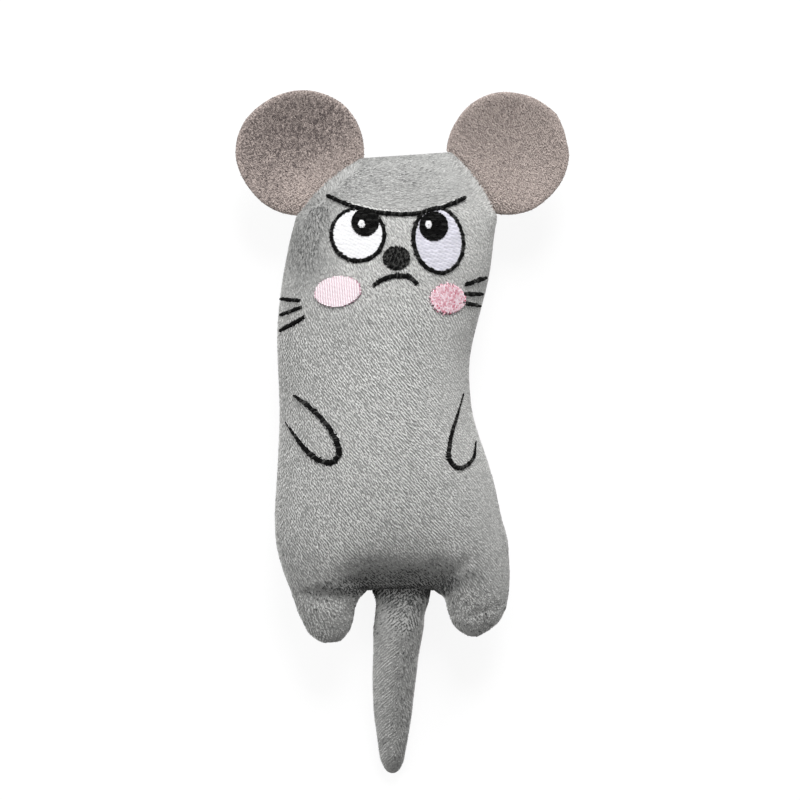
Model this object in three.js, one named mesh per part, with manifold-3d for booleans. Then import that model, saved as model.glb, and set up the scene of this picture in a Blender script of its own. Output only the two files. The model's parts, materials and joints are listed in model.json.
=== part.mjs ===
// Stuffed catnip mouse lying on its back, in millimetres.
// Two plush panels are sewn together round the edge, with the ears and the tail caught in that seam.
// Inside are wads of fibre round a sachet of dried catnip, and the face and arms are embroidered.
// Sewing frame: X to the viewer's right, Y from the crotch seam to the crown, Z out of the belly,
// with the side seam in the plane Z = 0. Left and right are the viewer's, facing the mouse.
import * as THREE from 'three';
import { mergeVertices } from 'three/addons/utils/BufferGeometryUtils.js';
import Module from 'manifold-3d';

const wasm = await Module();
wasm.setup();

// Cloth, thread and clearance
const GAP = 0.3;
const PLUSH = 1.5;
const SEAM_THREAD = 0.6;
const STITCH_HEIGHT = 0.6;
const FIBRE_EASE = 0.6;

// Body panels: steps up the body, then the width and the sideways lean at each level
const HIP_TO_THIGH = 14.6;
const THIGH_TO_BELLY = 23.4;
const BELLY_TO_WAIST = 23.3;
const WAIST_TO_JAW = 18.7;
const JAW_TO_CHEEK = 11.7;
const CHEEK_TO_EARS = 17.2;
const EARS_TO_CROWN = 18.1;
const HIP_WIDTH = 63.5;
const THIGH_WIDTH = 67.5;
const BELLY_WIDTH = 61;
const WAIST_WIDTH = 56.1;
const JAW_WIDTH = 58.7;
const CHEEK_WIDTH = 60.1;
const EAR_LEVEL_WIDTH = 58.5;
const CROWN_WIDTH = 25.1;
const HIP_LEAN = -0.8;
const THIGH_LEAN = -3.1;
const BELLY_LEAN = -5.7;
const WAIST_LEAN = -8.2;
const JAW_LEAN = -6.9;
const CHEEK_LEAN = -4.7;
const EAR_LEVEL_LEAN = -1.5;
const CROWN_LEAN = 0.9;
const CROWN_SLOPE = 0.07;

// Legs
const LEG_ROOT_WIDTH = 21.2;
const ANKLE_WIDTH = 13.3;
const LEFT_LEG_LENGTH = 14.9;
const RIGHT_LEG_LENGTH = 13.9;
const FOOT_ROUND_SHARE = 0.996;
const FOOT_POWER = 4;

// Stuffed height above and below the side seam, and the flat that the mouse lies on
const FRONT_RISE = 17;
const BACK_RISE = 14.5;
const REST_FLAT = 0.5;

// Ears
const EAR_RADIUS = 18.25;
const EAR_CENTRE_OUT = 13.4;
const EAR_PLY = 1.4;
const EAR_EDGE_ROUND = 0.5;

// Tail
const TAIL_LENGTH = 54.5;
const TAIL_ROOT_WIDTH = 16.4;
const TAIL_TIP_WIDTH = 8.6;
const TAIL_ROOT_THICKNESS = 4;
const TAIL_PLUMPNESS = 0.85;
const TAIL_FLAT_SHARE = 0.35;
const TAIL_LEAN = -2.8;
const TAIL_TIP_POWER = 7;
const TAIL_WALL = 1.3;

// Catnip sachet
const SACHET_LENGTH = 44;
const SACHET_WIDTH = 32;
const SACHET_HALF_THICKNESS = 5;
const SACHET_HEM = 3;
const SACHET_CLOTH = 0.5;
const SACHET_LEVEL = 42;

// Face, measured from the middle of the nose
const NOSE_BELOW_EARS = 12;
const NOSE_ASIDE = 2.2;
const NOSE_HALF_WIDTH = 4;
const NOSE_HALF_HEIGHT = 3.4;
const BROW_SPAN = 40.7;
const BROW_HEIGHT = 18.2;
const BROW_SAG = 5.3;
const BROW_ASIDE = 1.2;
const BROW_BAND = 1.35;
const EYE_BAND = 1.2;
const MOUTH_SPAN = 12.6;
const MOUTH_DROP = 5;
const MOUTH_ARCH = 2.6;
const MOUTH_BAND = 1.4;
const WHISKER_BAND = 0.9;
const ARM_LEVEL = 46;
const ARM_BAND = 1.35;

const EYES = {
  left: {
    x: -11.4, y: 6.8, halfWidth: 8.1, halfHeight: 8.1, tilt: 0,
    pupil: { x: -9.3, y: 9.4, radius: 3.95 },
    glint: { x: -10.2, y: 9.8, radius: 1.2 },
  },
  right: {
    x: 12.2, y: 5.3, halfWidth: 7.6, halfHeight: 9.9, tilt: 8,
    pupil: { x: 10.8, y: 8.9, radius: 4.3 },
    glint: { x: 9.3, y: 9.6, radius: 1.2 },
  },
};
const CHEEKS = {
  left: { x: -17.3, y: -9.4, halfWidth: 6.8, halfHeight: 4.4, tilt: 8 },
  right: { x: 14.9, y: -12, halfWidth: 5.1, halfHeight: 4.3, tilt: 0 },
};
// Whiskers: how far in from the side and how far above the nose, at the outer and at the inner end
const WHISKERS = {
  left: {
    upper: [[0.8, -12], [5.4, -12.5]],
    middle: [[0.9, -16.7], [6.3, -14.6]],
    lower: [[1, -21.4], [7.4, -17.7]],
  },
  right: {
    upper: [[0.8, -5.8], [5.8, -7.7]],
    middle: [[0.8, -10.6], [4.9, -10.6]],
    lower: [[0.8, -14], [4.3, -13.1]],
  },
};
// Arm outlines: how far in from the side and how far above the arm level
const ARMS = {
  left: [[4.7, 10.5], [10.2, 5.9], [14.5, 1.2], [17, -4.6], [14.3, -9], [8.1, -5.7], [2.4, 2.2]],
  right: [[2.1, 11], [5.4, 4.2], [9.6, -3.3], [10.6, -9.4], [6.9, -9.9], [3.6, -6.3], [1.8, -2.4]],
};

const ARM_TIP_SHARE = 0.45;

// Levels of the body above the crotch seam
const THIGH_LEVEL = HIP_TO_THIGH;
const BELLY_LEVEL = THIGH_LEVEL + THIGH_TO_BELLY;
const WAIST_LEVEL = BELLY_LEVEL + BELLY_TO_WAIST;
const JAW_LEVEL = WAIST_LEVEL + WAIST_TO_JAW;
const CHEEK_LEVEL = JAW_LEVEL + JAW_TO_CHEEK;
const EAR_LEVEL = CHEEK_LEVEL + CHEEK_TO_EARS;
const CROWN_LEVEL = EAR_LEVEL + EARS_TO_CROWN;
const BODY_STATIONS = [
  { level: 0, width: HIP_WIDTH, lean: HIP_LEAN },
  { level: THIGH_LEVEL, width: THIGH_WIDTH, lean: THIGH_LEAN },
  { level: BELLY_LEVEL, width: BELLY_WIDTH, lean: BELLY_LEAN },
  { level: WAIST_LEVEL, width: WAIST_WIDTH, lean: WAIST_LEAN },
  { level: JAW_LEVEL, width: JAW_WIDTH, lean: JAW_LEAN },
  { level: CHEEK_LEVEL, width: CHEEK_WIDTH, lean: CHEEK_LEAN },
  { level: EAR_LEVEL, width: EAR_LEVEL_WIDTH, lean: EAR_LEVEL_LEAN },
];
const SEAM_FACE = SEAM_THREAD / 2 + GAP;
const REST_DEPTH = SEAM_FACE + BACK_RISE - REST_FLAT;

const PLUSH_GREY = 0xa5a6a3;
const EAR_MAUVE = 0x9a8c88;
const FIBRE_WHITE = 0xf2f1ec;
const THREAD_BLACK = 0x1c1b1b;
const THREAD_WHITE = 0xf4f4f6;
const THREAD_PINK = 0xf0b9c6;
const THREAD_PALE_PINK = 0xfadfe4;
const THREAD_GREY = 0x8f908e;
const SACHET_CREAM = 0xe8e2d2;
const CATNIP_GREEN = 0x6f7a4a;

function cloth(colour, roughness = 0.95) {
  return new THREE.MeshStandardMaterial({ color: colour, roughness, metalness: 0 });
}

function piece(name, geometry, material) {
  const mesh = new THREE.Mesh(geometry, material);
  mesh.name = name;
  return mesh;
}

// Meshes and solids

function geometryOf(points, triangles) {
  const geometry = new THREE.BufferGeometry();
  geometry.setAttribute('position', new THREE.Float32BufferAttribute(points.flatMap((p) => p.toArray()), 3));
  geometry.setIndex(triangles.flat());
  return geometry;
}

function solidOf(geometry) {
  const bare = geometry.clone();
  bare.deleteAttribute('normal');
  bare.deleteAttribute('uv');
  const merged = mergeVertices(bare, 1e-4);
  const triVerts = new Uint32Array(merged.index.array);
  const vertProperties = merged.attributes.position.array;
  return new wasm.Manifold(new wasm.Mesh({ numProp: 3, vertProperties, triVerts }));
}

function geometryOfSolid(solid) {
  const mesh = solid.getMesh();
  const geometry = new THREE.BufferGeometry();
  geometry.setAttribute('position', new THREE.Float32BufferAttribute(mesh.vertProperties, 3));
  geometry.setIndex(new THREE.Uint32BufferAttribute(mesh.triVerts, 1));
  return geometry;
}

function blockBetween(low, high) {
  const size = high.clone().sub(low);
  const middle = low.clone().add(high).multiplyScalar(0.5);
  const block = new THREE.BoxGeometry(size.x, size.y, size.z);
  return solidOf(block.translate(middle.x, middle.y, middle.z));
}

// Closes a strip of equal rings of points into a solid, with a fan over each end.
function solidFromRings(rings) {
  const count = rings[0].length;
  const points = rings.flat();
  const triangles = [];
  for (let r = 0; r + 1 < rings.length; r++) {
    for (let k = 0; k < count; k++) {
      const a = r * count + k;
      const b = r * count + ((k + 1) % count);
      triangles.push([a, b, b + count], [a, b + count, a + count]);
    }
  }
  const last = (rings.length - 1) * count;
  for (let k = 1; k + 1 < count; k++) {
    triangles.push([0, k + 1, k], [last, last + k, last + k + 1]);
  }
  return geometryOf(points, triangles);
}

// Outline of the body

// A smooth curve through the stations: cubic pieces whose slopes follow the neighbouring stations.
function alongBody(key, level) {
  const last = BODY_STATIONS.length - 1;
  let i = 0;
  while (i < last - 1 && level > BODY_STATIONS[i + 1].level) i++;
  const from = BODY_STATIONS[i];
  const to = BODY_STATIONS[i + 1];
  const slopeAt = (n) => {
    const before = BODY_STATIONS[Math.max(n - 1, 0)];
    const after = BODY_STATIONS[Math.min(n + 1, last)];
    return (after[key] - before[key]) / (after.level - before.level);
  };
  const step = to.level - from.level;
  const t = (level - from.level) / step;
  const rise = (to[key] - from[key]) * t * t * (3 - 2 * t);
  const bend = step * t * (1 - t) * (slopeAt(i) * (1 - t) - slopeAt(i + 1) * t);
  return from[key] + rise + bend;
}

function sideOfBody(side, level) {
  return alongBody('lean', level) + (side * alongBody('width', level)) / 2;
}

// Plan of a panel: rows of points from side to side, up from the crotch to the crown, with two legs below.
// The rows crowd together towards the rim, where the stuffed cloth is steepest.
const ROW_CROWDING = 1.25;
const RIM_CROWDING = 1.4;

function bodyPlan({ legColumns, crotchColumns, bodyRows, headRows, legRows }) {
  const points = [];
  const triangles = [];
  const columns = 2 * legColumns + crotchColumns;
  const legShare = LEG_ROOT_WIDTH / HIP_WIDTH;
  const add = (x, y) => points.push(new THREE.Vector2(x, y)) - 1;

  const shareOf = (column) => {
    if (column > columns - legColumns) return 1 - shareOf(columns - column);
    if (column <= legColumns) return legShare * (column / legColumns) ** RIM_CROWDING;
    return legShare + ((1 - 2 * legShare) * (column - legColumns)) / crotchColumns;
  };
  const shares = Array.from({ length: columns + 1 }, (_, column) => shareOf(column));

  const rowAt = (level) => {
    const start = sideOfBody(-1, level);
    const width = alongBody('width', level);
    return shares.map((share) => [start + share * width, level]);
  };
  const rows = [];
  for (let r = 0; r <= bodyRows; r++) {
    rows.push(rowAt(EAR_LEVEL * (r / bodyRows) ** ROW_CROWDING).map(([x, y]) => add(x, y)));
  }
  const earRow = rowAt(EAR_LEVEL);
  for (let r = 1; r <= headRows; r++) {
    const t = 1 - (1 - r / headRows) ** RIM_CROWDING;
    rows.push(earRow.map(([x, y], column) => {
      const across = (shares[column] - 0.5) * CROWN_WIDTH;
      const crownY = CROWN_LEVEL + CROWN_SLOPE * across;
      return add(x + (CROWN_LEAN + across - x) * t, y + (crownY - y) * t);
    }));
  }

  const legRowsFrom = (root, length) => {
    const [first, end] = [points[root[0]].x, points[root[root.length - 1]].x];
    const made = [root];
    for (let r = 1; r <= legRows; r++) {
      const t = 1 - (1 - r / legRows) ** RIM_CROWDING;
      const taper = end - first + (ANKLE_WIDTH - (end - first)) * Math.sqrt(t);
      const round = (1 - (t * FOOT_ROUND_SHARE) ** FOOT_POWER) ** (1 / FOOT_POWER);
      made.push(root.map((index) => {
        const across = (points[index].x - first) / (end - first) - 0.5;
        return add((first + end) / 2 + across * taper * round, -length * t);
      }));
    }
    return made;
  };
  const leftLeg = legRowsFrom(rows[0].slice(0, legColumns + 1), LEFT_LEG_LENGTH);
  const rightLeg = legRowsFrom(rows[0].slice(columns - legColumns), RIGHT_LEG_LENGTH);

  const addQuads = (lower, upper) => {
    for (let k = 0; k + 1 < lower.length; k++) {
      triangles.push([lower[k], lower[k + 1], upper[k + 1]], [lower[k], upper[k + 1], upper[k]]);
    }
  };
  for (let r = 0; r + 1 < rows.length; r++) addQuads(rows[r], rows[r + 1]);
  for (const leg of [leftLeg, rightLeg]) {
    for (let r = 0; r + 1 < leg.length; r++) addQuads(leg[r + 1], leg[r]);
  }

  const top = rows[rows.length - 1];
  const outerEdge = (leg) => leg.map((row) => row[row.length - 1]);
  const innerEdge = (leg) => leg.map((row) => row[0]);
  const rim = [
    ...rows.map((row) => row[columns]),
    ...top.slice(1, columns).reverse(),
    ...rows.map((row) => row[0]).reverse(),
    ...innerEdge(leftLeg).slice(1),
    ...leftLeg[legRows].slice(1, legColumns),
    ...outerEdge(leftLeg).slice(1).reverse(),
    ...rows[0].slice(legColumns, columns - legColumns + 1),
    ...innerEdge(rightLeg).slice(1),
    ...rightLeg[legRows].slice(1, legColumns),
    ...outerEdge(rightLeg).slice(1).reverse(),
  ];
  const corner = (row, column) => points[rows[row][column]].clone();
  return {
    points,
    triangles,
    rim,
    earSeams: {
      left: [corner(bodyRows, 0), corner(rows.length - 1, 0)],
      right: [corner(bodyRows, columns), corner(rows.length - 1, columns)],
    },
    crotch: [corner(0, legColumns), corner(0, columns - legColumns)],
  };
}

// Height of a cloth blown up by even pressure and held along its rim, from 0 at the rim to 1 at its top.
// Each point settles at the cotangent-weighted mean of its neighbours plus its share of the load,
// and the square root of that membrane is the round section of a stuffed form.
const SWEEPS = 500;
const OVER_RELAXATION = 1.8;

function inflate({ points, triangles, rim }) {
  const fixed = new Set(rim);
  const load = new Float64Array(points.length);
  const pulls = points.map(() => new Map());
  for (const triangle of triangles) {
    const [a, b, c] = triangle.map((i) => points[i]);
    const twiceArea = b.clone().sub(a).cross(c.clone().sub(a));
    triangle.forEach((apex, k) => {
      const one = triangle[(k + 1) % 3];
      const two = triangle[(k + 2) % 3];
      const legOne = points[one].clone().sub(points[apex]);
      const legTwo = points[two].clone().sub(points[apex]);
      const half = legOne.dot(legTwo) / twiceArea / 2;
      pulls[one].set(two, (pulls[one].get(two) ?? 0) + half);
      pulls[two].set(one, (pulls[two].get(one) ?? 0) + half);
      load[apex] += twiceArea / 6;
    });
  }
  const film = new Float64Array(points.length);
  const free = points.map((_, i) => i).filter((i) => !fixed.has(i));
  for (let sweep = 0; sweep < SWEEPS; sweep++) {
    for (const i of free) {
      let pulled = load[i];
      let total = 0;
      for (const [j, weight] of pulls[i]) {
        pulled += weight * film[j];
        total += weight;
      }
      film[i] += OVER_RELAXATION * (pulled / total - film[i]);
    }
  }
  const highest = Math.max(...film);
  return Array.from(film, (height) => Math.sqrt(Math.max(height, 0) / highest));
}

function normalsOf(points, triangles) {
  const geometry = geometryOf(points, triangles);
  geometry.computeVertexNormals();
  const normals = geometry.getAttribute('normal');
  return points.map((_, i) => new THREE.Vector3().fromBufferAttribute(normals, i));
}

// Outer face of a panel: facing is 1 for the front and -1 for the back, which has a flat to lie on.
function panelFace(plan, heights, facing) {
  const triangles = facing > 0 ? plan.triangles : plan.triangles.map(([a, b, c]) => [a, c, b]);
  const points = plan.points.map((p, i) => {
    const z = facing > 0 ? heights[i] * FRONT_RISE : Math.min(heights[i] * BACK_RISE, BACK_RISE - REST_FLAT);
    return new THREE.Vector3(p.x, p.y, facing * (SEAM_FACE + z));
  });
  return { points, triangles, normals: normalsOf(points, triangles), facing };
}

// The same face moved inwards by a distance, but not past the plane of the panel's own edge.
function insideFace(face, distance, edgePlane) {
  return face.points.map((point, i) => {
    const inner = point.clone().addScaledVector(face.normals[i], -distance);
    inner.z = face.facing * Math.max(face.facing * inner.z, edgePlane);
    return inner;
  });
}

// A panel is its outer face, its inner face and the strip of cut edge between them.
function panelGeometry(face, rim) {
  const inner = insideFace(face, PLUSH, SEAM_FACE);
  const count = face.points.length;
  const triangles = [...face.triangles];
  face.triangles.forEach(([a, b, c]) => triangles.push([a + count, c + count, b + count]));
  rim.forEach((a, k) => {
    const b = rim[(k + 1) % rim.length];
    const strip = [[a, a + count, b + count], [a, b + count, b]];
    strip.forEach(([p, q, r]) => triangles.push(face.facing > 0 ? [p, q, r] : [p, r, q]));
  });
  return geometryOf([...face.points, ...inner], triangles);
}

// Points of the rim moved inwards along the plan.
function insetRim(plan, distance) {
  const loop = plan.rim.map((i) => plan.points[i]);
  return loop.map((point, k) => {
    const before = loop[(k + loop.length - 1) % loop.length];
    const after = loop[(k + 1) % loop.length];
    const inOne = new THREE.Vector2(before.y - point.y, point.x - before.x).normalize();
    const inTwo = new THREE.Vector2(point.y - after.y, after.x - point.x).normalize();
    const inwards = inOne.add(inTwo).normalize();
    return point.clone().addScaledVector(inwards, distance);
  });
}

const panelPlan = bodyPlan({ legColumns: 8, crotchColumns: 6, bodyRows: 15, headRows: 5, legRows: 5 });
const panelHeights = inflate(panelPlan);
const frontFace = panelFace(panelPlan, panelHeights, 1);
const backFace = panelFace(panelPlan, panelHeights, -1);

// Point and normal of a panel's outer face over a place in the plan.
function onFace(face, x, y) {
  for (const triangle of face.triangles) {
    const [a, b, c] = triangle.map((i) => face.points[i]);
    const area = (b.x - a.x) * (c.y - a.y) - (c.x - a.x) * (b.y - a.y);
    const u = ((x - a.x) * (c.y - a.y) - (c.x - a.x) * (y - a.y)) / area;
    const v = ((b.x - a.x) * (y - a.y) - (x - a.x) * (b.y - a.y)) / area;
    if (u < -1e-6 || v < -1e-6 || u + v > 1 + 1e-6) continue;
    const shares = [1 - u - v, u, v];
    const blend = (vectors) => triangle.reduce(
      (sum, index, k) => sum.addScaledVector(vectors[index], shares[k]),
      new THREE.Vector3(),
    );
    return { point: blend(face.points), normal: blend(face.normals).normalize() };
  }
  throw new Error(`no cloth at ${x.toFixed(1)}, ${y.toFixed(1)}`);
}

// Side seam: the run of stitching between the edges of the two panels.
function sideSeam() {
  const outer = insetRim(panelPlan, GAP);
  const inner = insetRim(panelPlan, PLUSH - GAP);
  const count = outer.length;
  const levels = [[outer, -1], [outer, 1], [inner, 1], [inner, -1]];
  const points = levels.flatMap(([loop, up]) => (
    loop.map((p) => new THREE.Vector3(p.x, p.y, (up * SEAM_THREAD) / 2))
  ));
  const triangles = [];
  for (let level = 0; level < levels.length; level++) {
    const above = ((level + 1) % levels.length) * count;
    for (let k = 0; k < count; k++) {
      const a = level * count + k;
      const b = level * count + ((k + 1) % count);
      const c = above + ((k + 1) % count);
      const d = above + k;
      triangles.push([a, b, c], [a, c, d]);
    }
  }
  return geometryOf(points, triangles);
}

// Stuffing: one fibre form that fills both panels, cut into the wads that are pushed in one after another.
function stuffingForm() {
  const plan = bodyPlan({ legColumns: 4, crotchColumns: 3, bodyRows: 9, headRows: 3, legRows: 3 });
  const onRim = new Map(plan.rim.map((index, k) => [index, k]));
  const rimInset = insetRim(plan, PLUSH + FIBRE_EASE);
  const surface = (face) => plan.points.map((p, i) => {
    if (onRim.has(i)) {
      const edge = rimInset[onRim.get(i)];
      return new THREE.Vector3(edge.x, edge.y, face.facing * SEAM_FACE);
    }
    const { point, normal } = onFace(face, p.x, p.y);
    const inner = point.addScaledVector(normal, -(PLUSH + FIBRE_EASE));
    inner.z = face.facing * Math.max(face.facing * inner.z, SEAM_FACE);
    return inner;
  });
  const count = plan.points.length;
  const triangles = [...plan.triangles];
  plan.triangles.forEach(([a, b, c]) => triangles.push([a + count, c + count, b + count]));
  plan.rim.forEach((a, k) => {
    const b = plan.rim[(k + 1) % plan.rim.length];
    triangles.push([a + count, b + count, b], [a + count, b, a]);
  });
  return solidOf(geometryOf([...surface(frontFace), ...surface(backFace)], triangles));
}

// Sachet: a round-cornered lens. Each of its faces is a height over rings that shrink towards the middle.
const SACHET_RINGS = 4;
const SACHET_SIDES = 20;
const SACHET_SQUARENESS = 2.6;

function lens({ halfWidth, halfLength, top, bottom }) {
  const points = [];
  const triangles = [];
  for (const height of [top, bottom]) {
    points.push(new THREE.Vector3(0, 0, height(0)));
    for (let ring = 1; ring <= SACHET_RINGS; ring++) {
      const r = ring / SACHET_RINGS;
      for (let k = 0; k < SACHET_SIDES; k++) {
        const angle = (2 * Math.PI * k) / SACHET_SIDES;
        const squared = (value) => Math.sign(value) * Math.abs(value) ** (2 / SACHET_SQUARENESS);
        const x = halfWidth * r * squared(Math.cos(angle));
        const y = halfLength * r * squared(Math.sin(angle));
        points.push(new THREE.Vector3(x, y, height(r)));
      }
    }
  }
  const half = points.length / 2;
  const at = (ring, k) => (ring === 0 ? 0 : 1 + (ring - 1) * SACHET_SIDES + (k % SACHET_SIDES));
  for (let ring = 0; ring < SACHET_RINGS; ring++) {
    for (let k = 0; k < SACHET_SIDES; k++) {
      const [a, b] = [at(ring, k), at(ring, k + 1)];
      const [c, d] = [at(ring + 1, k + 1), at(ring + 1, k)];
      triangles.push([a, d, c], [a + half, c + half, d + half]);
      if (ring > 0) triangles.push([a, c, b], [a + half, b + half, c + half]);
    }
  }
  for (let k = 0; k < SACHET_SIDES; k++) {
    const [a, b] = [at(SACHET_RINGS, k), at(SACHET_RINGS, k + 1)];
    triangles.push([a, a + half, b + half], [a, b + half, b]);
  }
  return geometryOf(points, triangles);
}

const sachetHalfWidth = SACHET_WIDTH / 2;
const sachetHalfLength = SACHET_LENGTH / 2;
const sachetBulge = 1 - SACHET_HEM / sachetHalfWidth;

// Height of the catnip between the two sachet cloths, zero from the hem outwards.
function catnipHeight(r) {
  return SACHET_HALF_THICKNESS * Math.max(1 - (r / sachetBulge) ** 2, 0);
}

function sachetCloth(facing) {
  const inner = (r) => facing * (GAP / 2 + catnipHeight(r));
  const outer = (r) => facing * (GAP / 2 + catnipHeight(r) + SACHET_CLOTH);
  const [top, bottom] = facing > 0 ? [outer, inner] : [inner, outer];
  return lens({ halfWidth: sachetHalfWidth, halfLength: sachetHalfLength, top, bottom });
}

function catnip() {
  const share = sachetBulge - GAP / SACHET_HALF_THICKNESS;
  const height = (r) => Math.max(catnipHeight(r * share) - GAP / 2, GAP / 2);
  return lens({
    halfWidth: sachetHalfWidth * share,
    halfLength: sachetHalfLength * share,
    top: height,
    bottom: (r) => -height(r),
  });
}

function sachetPocket() {
  const depth = (r) => GAP / 2 + catnipHeight(r) + SACHET_CLOTH + GAP;
  return lens({
    halfWidth: sachetHalfWidth + GAP,
    halfLength: sachetHalfLength + GAP,
    top: depth,
    bottom: (r) => -depth(r),
  });
}

// Ear: two round plies, cut straight where the side seam catches them and rolled over at that edge.
const EAR_ARC_STEPS = 22;
const EAR_ROLL_STEPS = 5;
const earHalfThickness = EAR_PLY + GAP / 2;
const earPivotOut = earHalfThickness + GAP;

function earPly(facing) {
  const centreY = EAR_CENTRE_OUT - earPivotOut;
  const baseAngle = Math.asin(centreY / EAR_RADIUS);
  const outline = new THREE.Shape();
  outline.absarc(0, centreY, EAR_RADIUS, -baseAngle, Math.PI + baseAngle, false);
  outline.closePath();
  const disc = new THREE.ExtrudeGeometry(outline, {
    depth: EAR_PLY - EAR_EDGE_ROUND,
    curveSegments: EAR_ARC_STEPS,
    bevelEnabled: true,
    bevelThickness: EAR_EDGE_ROUND,
    bevelSize: EAR_EDGE_ROUND,
    bevelOffset: -EAR_EDGE_ROUND,
    bevelSegments: 1,
  });
  const lowest = GAP / 2;
  const ply = solidOf(disc.translate(0, 0, lowest));
  const halfBase = Math.sqrt(EAR_RADIUS ** 2 - centreY ** 2) - EAR_EDGE_ROUND;
  const roll = new THREE.CylinderGeometry(earHalfThickness, earHalfThickness, 2 * halfBase, 4 * EAR_ROLL_STEPS);
  const rolled = solidOf(roll.rotateZ(Math.PI / 2));
  const slab = blockBetween(
    new THREE.Vector3(-EAR_RADIUS, -2 * EAR_RADIUS, lowest),
    new THREE.Vector3(EAR_RADIUS, 3 * EAR_RADIUS, earHalfThickness),
  );
  const shaped = ply.add(rolled).intersect(slab);
  const geometry = geometryOfSolid(shaped);
  return facing > 0 ? geometry : geometry.rotateY(Math.PI);
}

function ear(side, seam) {
  const along = seam[1].clone().sub(seam[0]).normalize();
  const outwards = new THREE.Vector2(-along.y, along.x).multiplyScalar(side === 'left' ? 1 : -1);
  const pivot = seam[0].clone().add(seam[1]).multiplyScalar(0.5).addScaledVector(outwards, earPivotOut);
  const group = new THREE.Group();
  group.position.set(pivot.x, pivot.y, 0);
  group.rotation.z = Math.atan2(outwards.y, outwards.x) - Math.PI / 2;
  group.add(
    piece(`${side}_ear_facing`, earPly(1), cloth(EAR_MAUVE)),
    piece(`${side}_ear_back`, earPly(-1), cloth(PLUSH_GREY)),
  );
  return group;
}

// Tail: a sleeve that is flat at its root, where the crotch seam catches it, plump in the middle and round at
// its tip. It runs along -Y from its pivot and droops until the tip lies where the mouse lies.
const TAIL_RINGS = 12;
const TAIL_SIDES = 14;
const tailRootRound = TAIL_ROOT_THICKNESS / 2;

function tailSection(share) {
  const tip = Math.sqrt(Math.max(1 - share ** TAIL_TIP_POWER, 0));
  const halfWidth = ((TAIL_ROOT_WIDTH + (TAIL_TIP_WIDTH - TAIL_ROOT_WIDTH) * share) / 2) * tip;
  const opened = THREE.MathUtils.smoothstep(share, 0, TAIL_FLAT_SHARE);
  const halfThickness = THREE.MathUtils.lerp(tailRootRound, TAIL_PLUMPNESS * halfWidth, opened);
  return { halfWidth, halfThickness, lean: TAIL_LEAN * (1 - (1 - share) ** 2) };
}

function tailRing(y, { halfWidth, halfThickness, lean }) {
  return Array.from({ length: TAIL_SIDES }, (_, k) => {
    const angle = (2 * Math.PI * k) / TAIL_SIDES;
    return new THREE.Vector3(lean + halfWidth * Math.cos(angle), y, halfThickness * Math.sin(angle));
  });
}

// A solid tail form, taken in by an inset all round. Its root is rounded about the pivot,
// or runs on past it as a flat slot that the stuffing went in through.
function tailForm(inset, slotted) {
  const rings = [];
  const slot = { ...tailSection(0), halfThickness: tailRootRound - inset };
  slot.halfWidth -= inset;
  if (slotted) {
    rings.push(tailRing(2 * tailRootRound, slot));
  } else {
    for (const angle of [80, 55, 30]) {
      const turn = THREE.MathUtils.degToRad(angle);
      const rounded = { ...slot, halfThickness: slot.halfThickness * Math.cos(turn) };
      rings.push(tailRing(slot.halfThickness * Math.sin(turn), rounded));
    }
  }
  const reach = TAIL_LENGTH - inset;
  for (let r = 0; r < TAIL_RINGS; r++) {
    const share = 1 - (1 - r / TAIL_RINGS) ** RIM_CROWDING;
    const section = tailSection(share);
    section.halfWidth -= inset * Math.min(section.halfWidth / (2 * inset + GAP), 1);
    section.halfThickness -= inset * Math.min(section.halfThickness / (2 * inset + GAP), 1);
    rings.push(tailRing(-reach * share, section));
  }
  const end = tailSection(1);
  rings.push(tailRing(-reach, { ...end, halfWidth: GAP, halfThickness: GAP }));
  return solidOf(solidFromRings(rings));
}

function tail(crotch) {
  const sleeve = tailForm(0, false).subtract(tailForm(TAIL_WALL, true));
  const group = new THREE.Group();
  group.position.set((crotch[0].x + crotch[1].x) / 2, -(tailRootRound + GAP), 0);
  const tipRound = (TAIL_PLUMPNESS * TAIL_TIP_WIDTH) / 3;
  group.rotation.x = Math.asin((REST_DEPTH - GAP - tipRound) / (TAIL_LENGTH - tipRound));
  group.add(
    piece('tail_sleeve', geometryOfSolid(sleeve), cloth(PLUSH_GREY)),
    piece('tail_stuffing', geometryOfSolid(tailForm(TAIL_WALL + GAP, false)), cloth(FIBRE_WHITE)),
  );
  return group;
}

// Embroidery: threads laid on the front panel, a clearance above its cloth.

// A filled patch: rings of points that shrink from its outline to its middle, laid on the cloth.
const PATCH_RINGS = 3;
const PATCH_SIDES = 20;
const CUT_BELOW = -0.6;
const CUT_ABOVE = 2.4;

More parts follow.
